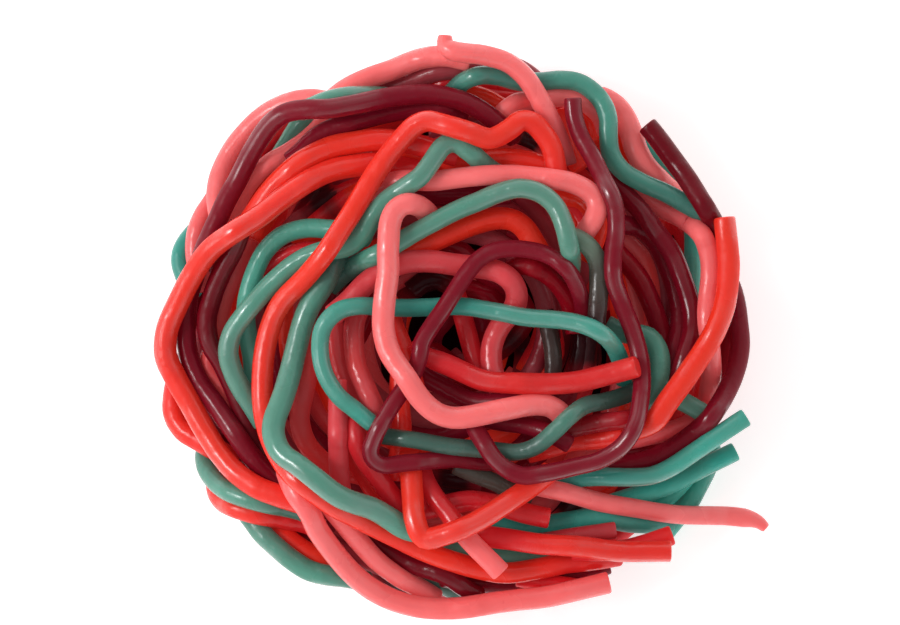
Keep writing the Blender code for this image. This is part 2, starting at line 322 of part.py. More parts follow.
    ("maroon_hook", "maroon", 3, ((20, 38.2, 7.4), (20.3, 35, 7.6), (21.5, 31.5, 7.8), (23.5, 28, 8),
        (25.2, 24.4, 8.2), (26.9, 20.5, 8.2), (27.2, 16, 8.2), (26.7, 12, 8.2), (26.8, 8, 8.2),
        (28.2, 4, 8.4), (29.8, 0, 8.4), (31, -4, 8.6), (31.5, -8, 8.7), (31.2, -12, 8.8),
        (30.3, -16, 8.9), (28, -19.6, 8.9), (24.5, -21.8, 9), (20, -23, 9), (15, -24.1, 9),
        (11.5, -24.4, 9), (8.5, -23, 8.9), (6.5, -20.9, 8.7), (5, -18.5, 8.1), (3.9, -16.6, 7.2),
        (3, -14, 6))),
    ("maroon_right_rim", "maroon", 3.3, ((45.9, 9, 4.2), (47.2, 5.6, 5), (47.9, 1, 5.4),
        (48.1, -3, 5.4), (46.9, -8, 5.4), (44.9, -12, 5.4), (41.5, -16.4, 5.4), (37, -19.8, 5.4),
        (33, -21.8, 5.4), (28.5, -22.6, 5), (25.5, -22.4, 4.4))),
    ("maroon_cut_end", "maroon", 3.4, ((32.4, 33.8, 5.4), (34.3, 31.5, 5.6), (36.9, 28, 5.8),
        (39.3, 24.5, 5.8), (41.4, 21, 5.6), (43.5, 17.6, 5.2), (44.8, 14.4, 4.4))),
    ("maroon_strand_a", "maroon", 3.3, ((24.2, 27.4, 3.6), (26.5, 24.5, 4.2), (29, 22, 4.6),
        (31.5, 19.3, 4.6), (34, 16, 4.6), (36.5, 12.5, 4.8), (38.4, 8, 5), (39.9, 3, 5.2),
        (39.8, -1, 5.4), (38.6, -5, 5), (37.4, -9, 4.4))),
    ("maroon_strand_b", "maroon", 3.3, ((24.6, 18, 3), (28.5, 17.2, 3.6), (31.5, 16.5, 3.8),
        (34.2, 14, 4), (36, 10, 4.2), (37.4, 6, 4.4), (38, 2, 4.4), (37.4, -2.5, 4.2),
        (36.2, -7, 3.6))),
    ("maroon_crown", "maroon", 3.3, ((-14.5, 39.4, 3.6), (-11, 40.2, 4.4), (-6.5, 41.1, 5),
        (-3, 42.6, 5.2), (1, 43.1, 5.2), (6, 43.4, 5), (9.4, 43.7, 4.8), (11.6, 43, 4.6),
        (13.8, 41.4, 4.4), (15.5, 39.4, 4))),
    ("maroon_hem_a", "maroon", 3.3, ((-16.6, -32, 3.6), (-14, -34.6, 4.2), (-10, -37.5, 4.6),
        (-6, -39.5, 4.8), (-1, -41.2, 4.8), (2, -43.2, 4.4), (4.6, -44.8, 4))),
    ("maroon_hem_b", "maroon", 3.3, ((-1.6, -41.6, 3.4), (2, -42.3, 4.2), (8, -42.8, 4.8),
        (12, -42.8, 4.6), (17, -41.6, 4.2), (22, -40.8, 4.4), (26.3, -39.6, 4.4))),
    ("maroon_hem_c", "maroon", 3.2, ((-30, -32.6, 2.8), (-27, -34, 3.4), (-24.3, -35.3, 3.8),
        (-21, -36.6, 3.4))),
    ("maroon_inner", "maroon", 3, ((-7.4, -4.4, 4), (-4.5, -8, 4.8), (-1, -10, 5.2), (3, -12, 5.2),
        (7, -12.3, 5), (11, -11, 4.4))),
    ("maroon_below", "maroon", 3, ((4.6, -15, 4), (8, -15.6, 4.6), (12, -16.1, 4.8), (15.6, -17.2, 4.8),
        (19.6, -19.4, 4.2))),
    ("maroon_centre_twin", "maroon", 3.2, ((9.4, 9.6, 4.6), (11.6, 10.4, 5.6), (14.4, 9.6, 6.2),
        (17.2, 7.6, 6.2), (19.2, 4.8, 5.6), (20.2, 1.4, 4.2), (20.4, -1, 3.4))),
    ("maroon_rim_inner", "maroon", 3.2, ((45.6, 3, 3), (45.9, -3, 3.2), (45, -8, 3.4), (43, -12, 3.4),
        (40, -15.8, 3.4), (36, -18.9, 3.4), (32, -20.4, 3.4), (28, -21, 3))),
)


def remove_everything():
    for old in list(bpy.data.objects):
        bpy.data.objects.remove(old, do_unlink=True)


def new_collection(name):
    collection = bpy.data.collections.new(name)
    bpy.context.scene.collection.children.link(collection)
    return collection


def make_material(kind):
    colour, roughness, metallic = FINISHES[kind]
    material = bpy.data.materials.new("candy_" + kind)
    material.use_nodes = True
    shader = material.node_tree.nodes["Principled BSDF"]
    shader.inputs["Base Color"].default_value = colour
    shader.inputs["Roughness"].default_value = roughness
    shader.inputs["Metallic"].default_value = metallic
    material.diffuse_color = colour
    return material


def smooth_route(points):
    """Points every ROUTE_STEP along a centripetal spline through the given ones."""
    p = np.array(points, float)
    p = np.vstack((2 * p[0] - p[1], p, 2 * p[-1] - p[-2]))
    dense = []
    for a, b, c, d in zip(p, p[1:], p[2:], p[3:]):
        t1 = np.linalg.norm((b - a)[:2]) ** 0.5
        t2 = t1 + np.linalg.norm((c - b)[:2]) ** 0.5
        t3 = t2 + np.linalg.norm((d - c)[:2]) ** 0.5
        for t in np.linspace(t1, t2, SPLINE_STEPS, endpoint=False):
            a1 = a + (b - a) * t / t1
            a2 = b + (c - b) * (t - t1) / (t2 - t1)
            a3 = c + (d - c) * (t - t2) / (t3 - t2)
            b1 = a1 + (a2 - a1) * t / t2
            b2 = a2 + (a3 - a2) * (t - t1) / (t3 - t1)
            dense.append(b1 + (b2 - b1) * (t - t1) / (t2 - t1))
    dense.append(p[-2])
    dense = np.array(dense)
    strides = np.linalg.norm(np.diff(dense[:, :2], axis=0), axis=1)
    along = np.concatenate(((0.0,), np.cumsum(strides)))
    count = max(3, round(along[-1] / ROUTE_STEP) + 1)
    stops = np.linspace(0.0, along[-1], count)
    return np.stack([np.interp(stops, along, dense[:, k]) for k in range(3)], axis=1)


def bed_height(x, y):
    """Top of the buried laces: a full-sided dome with a shallow hollow in its middle."""
    reach = np.hypot(x, y)
    dome = BED_HEIGHT * (1 - np.clip(reach / BED_RADIUS, 0, 1) ** BED_SHOULDER) ** BED_ROUNDNESS
    return dome - HOLLOW_DEPTH * np.exp(-((reach / HOLLOW_RADIUS) ** 2))


def find_contacts(x, y, layer, radius, lace, place):
    """Pairs of points whose laces cross or touch, seen from above, and the rise each needs."""
    touching = []
    for i in range(len(x)):
        apart = (x[i + 1:] - x[i]) ** 2 + (y[i + 1:] - y[i]) ** 2
        reach = (radius[i] + radius[i + 1:]) * PRESS
        for k in np.nonzero(apart < reach ** 2)[0]:
            j = i + 1 + k
            if lace[j] != lace[i] or place[j] - place[i] >= OWN_GAP:
                touching.append((lace[i], lace[j], i, j, np.sqrt(reach[k] ** 2 - apart[k])))
    touching.sort()
    crossings = [[touching[0]]]
    for row in touching[1:]:
        before = crossings[-1][-1]
        same = row[:2] == before[:2] and row[2] - before[2] <= RUN_GAP
        if same and abs(row[3] - before[3]) <= RUN_JUMP:
            crossings[-1].append(row)
        else:
            crossings.append([row])
    upper, lower, rise = [], [], []
    for crossing in crossings:
        lead = sum((layer[i] - layer[j]) * need for _, _, i, j, need in crossing)
        for _, _, i, j, need in crossing:
            upper.append(i if lead > 0 else j)
            lower.append(j if lead > 0 else i)
            rise.append(need)
    return np.array(upper), np.array(lower), np.array(rise)


def settle(laces):
    """Heights for every lace, so that each rests on the bed and on what it crosses."""
    routes = [smooth_route(points) for _, _, _, points in laces]
    sizes = [len(route) for route in routes]
    radius = np.repeat([width / 2 for _, _, width, _ in laces], sizes)
    lace = np.repeat(np.arange(len(laces)), sizes)
    place = np.concatenate([np.arange(size) for size in sizes])
    x, y, layer = np.concatenate(routes).T
    upper, lower, rise = find_contacts(x, y, layer, radius, lace, place)
    starts = np.nonzero(place == 0)[0]
    ends = np.append(starts[1:], len(x)) - 1
    inner = np.setdiff1d(np.arange(len(x)), np.concatenate((starts, ends)))
    lowest = bed_height(x, y) + radius
    z = lowest + np.maximum(layer - LOWEST_LAYER, 0) * LAYER_RISE
    for turn in range(SETTLE_ROUNDS):
        calm = turn > CALM_ROUNDS
        z = z - (CALM_FALL if calm else FALL)
        for _ in range(CALM_BEND_ROUNDS if calm else BEND_ROUNDS):
            straight = z.copy()
            straight[inner] = (z[inner - 1] + z[inner + 1]) / 2
            straight[starts] = 2 * z[starts + 1] - z[starts + 2]
            straight[ends] = 2 * z[ends - 1] - z[ends - 2]
            z = z + (straight - z) * BEND_SHARE
        for _ in range(CONTACT_ROUNDS):
            lack = np.maximum(rise - (z[upper] - z[lower]), 0)
            push = np.bincount(upper, lack * UPPER_SHARE, len(z))
            push = push - np.bincount(lower, lack * (1 - UPPER_SHARE), len(z))
            share = np.bincount(upper, lack > 0, len(z)) + np.bincount(lower, lack > 0, len(z))
            z = np.clip(z + push / np.maximum(share, 1), lowest, lowest + STACK_LIMIT)
    points = np.stack((x, y, z), axis=1)
    return np.split(points, starts[1:])


def level_end(path, end):
    """The path with its loose end raised, so that it hangs down by no more than LOOSE_SLOPE."""
    path = path if end == "last" else path[::-1]
    strides = np.linalg.norm(np.diff(path[:, :2], axis=0), axis=1)
    left = np.append(np.cumsum(strides[::-1])[::-1], 0.0)
    base = int(np.argmin(abs(left - LOOSE_REACH)))
    level = path[base, 2] - LOOSE_SLOPE * (left[base] - left)
    path[base:, 2] = np.maximum(path[base:, 2], level[base:])
    return path if end == "last" else path[::-1]


def thin_out(points):
    """Fewer points: only those that keep the path within THIN_WITHIN of its full form."""
    if len(points) < 3:
        return [points[0], points[-1]]
    first, last = points[0], points[-1]
    run = last - first
    share = np.clip((points - first) @ run / (run @ run), 0, 1)
    off = np.linalg.norm(points - first - share[:, None] * run, axis=1)
    far = int(off.argmax())
    if off[far] < THIN_WITHIN:
        return [first, last]
    return thin_out(points[: far + 1])[:-1] + thin_out(points[far:])


def to_mesh_object(source, name, collection):
    """A plain mesh of an object, with its loose ends welded, in place of the object."""
    graph = bpy.context.evaluated_depsgraph_get()
    mesh = bpy.data.meshes.new_from_object(source.evaluated_get(graph))
    body = bmesh.new()
    body.from_mesh(mesh)
    bmesh.ops.remove_doubles(body, verts=body.verts, dist=0.00001)
    bmesh.ops.recalc_face_normals(body, faces=body.faces)
    body.to_mesh(mesh)
    body.free()
    solid = bpy.data.objects.new(name, mesh)
    solid.matrix_world = source.matrix_world
    collection.objects.link(solid)
    bpy.data.objects.remove(source, do_unlink=True)
    return solid


def make_lace(name, width, path, material, collection):
    """A six-sided tube, rolled by its own amount so that no two tubes share a flat."""
    number = len(collection.objects)
    curve = bpy.data.curves.new(name, "CURVE")
    curve.dimensions = "3D"
    curve.bevel_depth = width / 2 * MM
    curve.bevel_resolution = 1
    curve.use_fill_caps = True
    points = thin_out(path)
    spline = curve.splines.new("POLY")
    spline.points.add(len(points) - 1)
    for point, place in zip(spline.points, points):
        point.co = (*(place * MM), 1.0)
        point.tilt = number * ROLL_BETWEEN_LACES
    curve.materials.append(material)
    source = bpy.data.objects.new(name + "_route", curve)
    collection.objects.link(source)
    return to_mesh_object(source, name, collection)


def make_core(material, collection):
    """The dome under the laces, turned from half of its outline."""
    outline = [(0.0, 0.0), (CORE_FOOT_RADIUS, 0.0), *CORE_BELLY]
    for radius in np.linspace(CORE_EDGE_RADIUS, 0.0, CORE_RINGS):
        outline.append((radius, float(bed_height(radius, 0.0)) + CORE_PROUD))
    outline.reverse()
    profile = bpy.data.curves.new(NODE_NAME + "_outline", "CURVE")
    spline = profile.splines.new("POLY")
    spline.points.add(len(outline) - 1)
    for point, (radius, height) in zip(spline.points, outline):
        point.co = (radius * MM, 0.0, height * MM, 1.0)
    profile.dimensions = "3D"
    profile.materials.append(material)
    source = bpy.data.objects.new(NODE_NAME + "_outline", profile)
    collection.objects.link(source)
    turn = source.modifiers.new("turn", "SCREW")
    turn.axis = "Z"
    turn.steps = CORE_STEPS
    turn.render_steps = CORE_STEPS
    turn.use_merge_vertices = True
    turn.merge_threshold = 0.0001
    turn.use_smooth_shade = False
    return to_mesh_object(source, NODE_NAME, collection)


def skirt_path(radius, height, first, last, waves):
    """A lace's path round the foot of the heap, waving in and out and a little up and down."""
    turn = np.radians(np.arange(first, last, SKIRT_ANGLE_STEP))
    wave = SKIRT_WAVE * np.sin(waves * turn)
    reach = radius + wave
    rise = np.maximum(height + SKIRT_WAVE * np.cos(waves * turn), SKIRT_LOWEST)
    return np.stack((reach * np.cos(turn), reach * np.sin(turn), rise), axis=1)


def shell_volume(faces):
    volume = 0.0
    for face in faces:
        corners = [loop.vert.co for loop in face.loops]
        for second, third in zip(corners[1:], corners[2:]):
            volume += corners[0].dot(second.cross(third)) / 6
    return volume


def turn_diagonal(body, edge):
    """Splits one of two flat faces the other way, where both were split along one line."""
    for first in edge.link_faces:
        for second in edge.link_faces:
            if first == second or first.normal.dot(second.normal) < FLAT_ENOUGH:
                continue
            leading = next(loop for loop in first.loops if loop.edge == edge)
            meeting = next(loop for loop in second.loops if loop.edge == edge)
            start, end = leading.vert, leading.link_loop_next.vert
            if meeting.vert != end:
                continue
            tip = leading.link_loop_prev.vert
            opposite = meeting.link_loop_prev.vert
            if body.edges.get((tip, opposite)):
                continue
            across = opposite.co - tip.co
            normal = first.normal
            if across.cross(start.co - tip.co).dot(normal) >= 0:
                continue
            if across.cross(end.co - tip.co).dot(normal) <= 0:
                continue
            kind = first.material_index
            bmesh.ops.delete(body, geom=[first, second], context="FACES_ONLY")
            for corners in ((start, opposite, tip), (opposite, end, tip)):
                face = body.faces.new(corners)
                face.material_index = kind
                face.normal_update()
            return True
    return False


def keep_outer_shell(solid):
    """Fills hollows that the union sealed and drops loose scraps: one shell stays."""
    body = bmesh.new()
    body.from_mesh(solid.data)
    bmesh.ops.triangulate(body, faces=body.faces)
    shared = [edge for edge in body.edges if len(edge.link_faces) > 2]
    print("double edges", len(shared), "turned", sum(turn_diagonal(body, edge) for edge in shared))
    unseen = set(body.faces)
    shells = []
    while unseen:
        shell = [unseen.pop()]
        for face in shell:
            for edge in face.edges:
                for other in edge.link_faces:
                    if other in unseen:
                        unseen.remove(other)
                        shell.append(other)
        shells.append(shell)
    shells.sort(key=shell_volume)
    scraps = [face for shell in shells[:-1] for face in shell]
    print("shells", len(shells), "faces dropped", len(scraps), "faces kept", len(shells[-1]))
    bmesh.ops.delete(body, geom=scraps, context="FACES")
    loose = [vert for vert in body.verts if not vert.link_faces]
    bmesh.ops.delete(body, geom=loose, context="VERTS")
    body.to_mesh(solid.data)
    body.free()


def fuse(core, laces):
    """Joins the laces to the core with one union and applies it."""
    union = core.modifiers.new("fuse", "BOOLEAN")
    union.operation = "UNION"
    union.operand_type = "COLLECTION"
    union.collection = laces
    union.solver = "EXACT"
    graph = bpy.context.evaluated_depsgraph_get()
    mesh = bpy.data.meshes.new_from_object(core.evaluated_get(graph))
    core.modifiers.remove(union)
    core.data = mesh
    for lace in list(laces.objects):
        bpy.data.objects.remove(lace, do_unlink=True)
    bpy.data.collections.remove(laces)


def main():
    remove_everything()
    heap = new_collection("candy_lace_heap")
    loose_laces = new_collection("loose_laces")
    materials = {kind: make_material(kind) for kind in FINISHES}
    core = make_core(materials[CORE_KIND], heap)
    for (name, kind, width, _), path in zip(LACES, settle(LACES)):
        if name in LOOSE_ENDS:
            path = level_end(path, LOOSE_ENDS[name])
        if name not in BURIED:
            make_lace(name, width, path, materials[kind], loose_laces)
    for number, (kind, width, *ring) in enumerate(SKIRT):
        make_lace(f"skirt_{number}", width, skirt_path(*ring), materials[kind], loose_laces)
    fuse(core, loose_laces)
    keep_outer_shell(core)


main()
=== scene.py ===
# A heap of soft candy laces: red, pink, green and wine-red strands lying tangled on a pale table.
import math
import random

import bmesh
import bpy
import numpy as np
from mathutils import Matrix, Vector


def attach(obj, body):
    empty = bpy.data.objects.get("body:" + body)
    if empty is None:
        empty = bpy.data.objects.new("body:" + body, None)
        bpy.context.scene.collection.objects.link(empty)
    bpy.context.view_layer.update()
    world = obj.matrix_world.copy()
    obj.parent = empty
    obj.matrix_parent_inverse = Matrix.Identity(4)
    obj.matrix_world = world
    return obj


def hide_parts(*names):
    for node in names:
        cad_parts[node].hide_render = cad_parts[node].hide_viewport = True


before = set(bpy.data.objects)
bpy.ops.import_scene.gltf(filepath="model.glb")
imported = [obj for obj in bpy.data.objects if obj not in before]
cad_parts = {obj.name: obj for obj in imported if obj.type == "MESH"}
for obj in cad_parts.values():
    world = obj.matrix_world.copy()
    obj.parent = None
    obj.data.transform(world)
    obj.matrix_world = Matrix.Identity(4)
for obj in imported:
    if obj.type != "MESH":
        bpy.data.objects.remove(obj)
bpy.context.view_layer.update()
heapNode = "lace_heap"
mm = 0.001
fullTurn = 2 * math.pi
white = (1.0, 1.0, 1.0)


# Small helpers for materials and objects

class Maths:
    # wraps a socket, so that an expression on it adds Math nodes
    def __init__(self, nodes, socket):
        self.nodes = nodes
        self.socket = socket

    def join(self, operation, first, second):
        return self.nodes.value("ShaderNodeMath", {"operation": operation}, {0: first, 1: second})

    def __add__(self, other):
        return self.join("ADD", self, other)

    def __radd__(self, other):
        return self.join("ADD", other, self)

    def __sub__(self, other):
        return self.join("SUBTRACT", self, other)

    def __rsub__(self, other):
        return self.join("SUBTRACT", other, self)

    def __mul__(self, other):
        return self.join("MULTIPLY", self, other)

    def __rmul__(self, other):
        return self.join("MULTIPLY", other, self)

    def clamp(self):
        return self.nodes.value("ShaderNodeClamp", {}, {"Value": self})


class Nodes:
    # adds nodes to a tree: settings first, then values or links for the sockets
    def __init__(self, tree):
        self.tree = tree

    def node(self, kind, settings=None, sockets=None):
        made = self.tree.nodes.new(kind)
        for key, value in (settings or {}).items():
            setattr(made, key, value)
        for key, value in (sockets or {}).items():
            value = value.socket if isinstance(value, Maths) else value
            if isinstance(value, bpy.types.NodeSocket):
                self.tree.links.new(value, made.inputs[key])
            else:
                made.inputs[key].default_value = value
        return made

    def value(self, kind, settings=None, sockets=None, output=0):
        return Maths(self, self.node(kind, settings, sockets).outputs[output])

    def attribute(self, name):
        return self.value("ShaderNodeAttribute", {"attribute_name": name}, output=2)

    def noise(self, vector, scale, detail):
        return self.value("ShaderNodeTexNoise", {}, {"Vector": vector, "Scale": scale, "Detail": detail})

    def ramp(self, value, low, high):
        return self.value("ShaderNodeMapRange", {"interpolation_type": "SMOOTHSTEP"},
                          {"Value": value, "From Min": low, "From Max": high})

    def mix(self, share, *colours):
        first, second = [c if isinstance(c, bpy.types.NodeSocket) else (*c, 1.0) for c in colours]
        made = self.node("ShaderNodeMix", {"data_type": "RGBA"}, {0: share, 6: first, 7: second})
        return made.outputs[2]

    def bump(self, height, strength, distance, below=None):
        sockets = {"Strength": strength, "Distance": distance, "Height": height}
        if below is not None:
            sockets["Normal"] = below
        return self.node("ShaderNodeBump", sockets=sockets).outputs[0]


class Shader(Nodes):
    # a material's node tree
    def __init__(self, name):
        self.material = bpy.data.materials.new(name)
        self.material.use_nodes = True
        super().__init__(self.material.node_tree)
        self.tree.nodes.clear()
        self.place = self.node("ShaderNodeTexCoord").outputs["Object"]

    def finish(self, sockets):
        surface = self.node("ShaderNodeBsdfPrincipled", sockets=sockets)
        self.node("ShaderNodeOutputMaterial", sockets={"Surface": surface.outputs[0]})
        return self.material


def addObject(name, data):
    made = bpy.data.objects.new(name, data)
    bpy.context.scene.collection.objects.link(made)
    return made


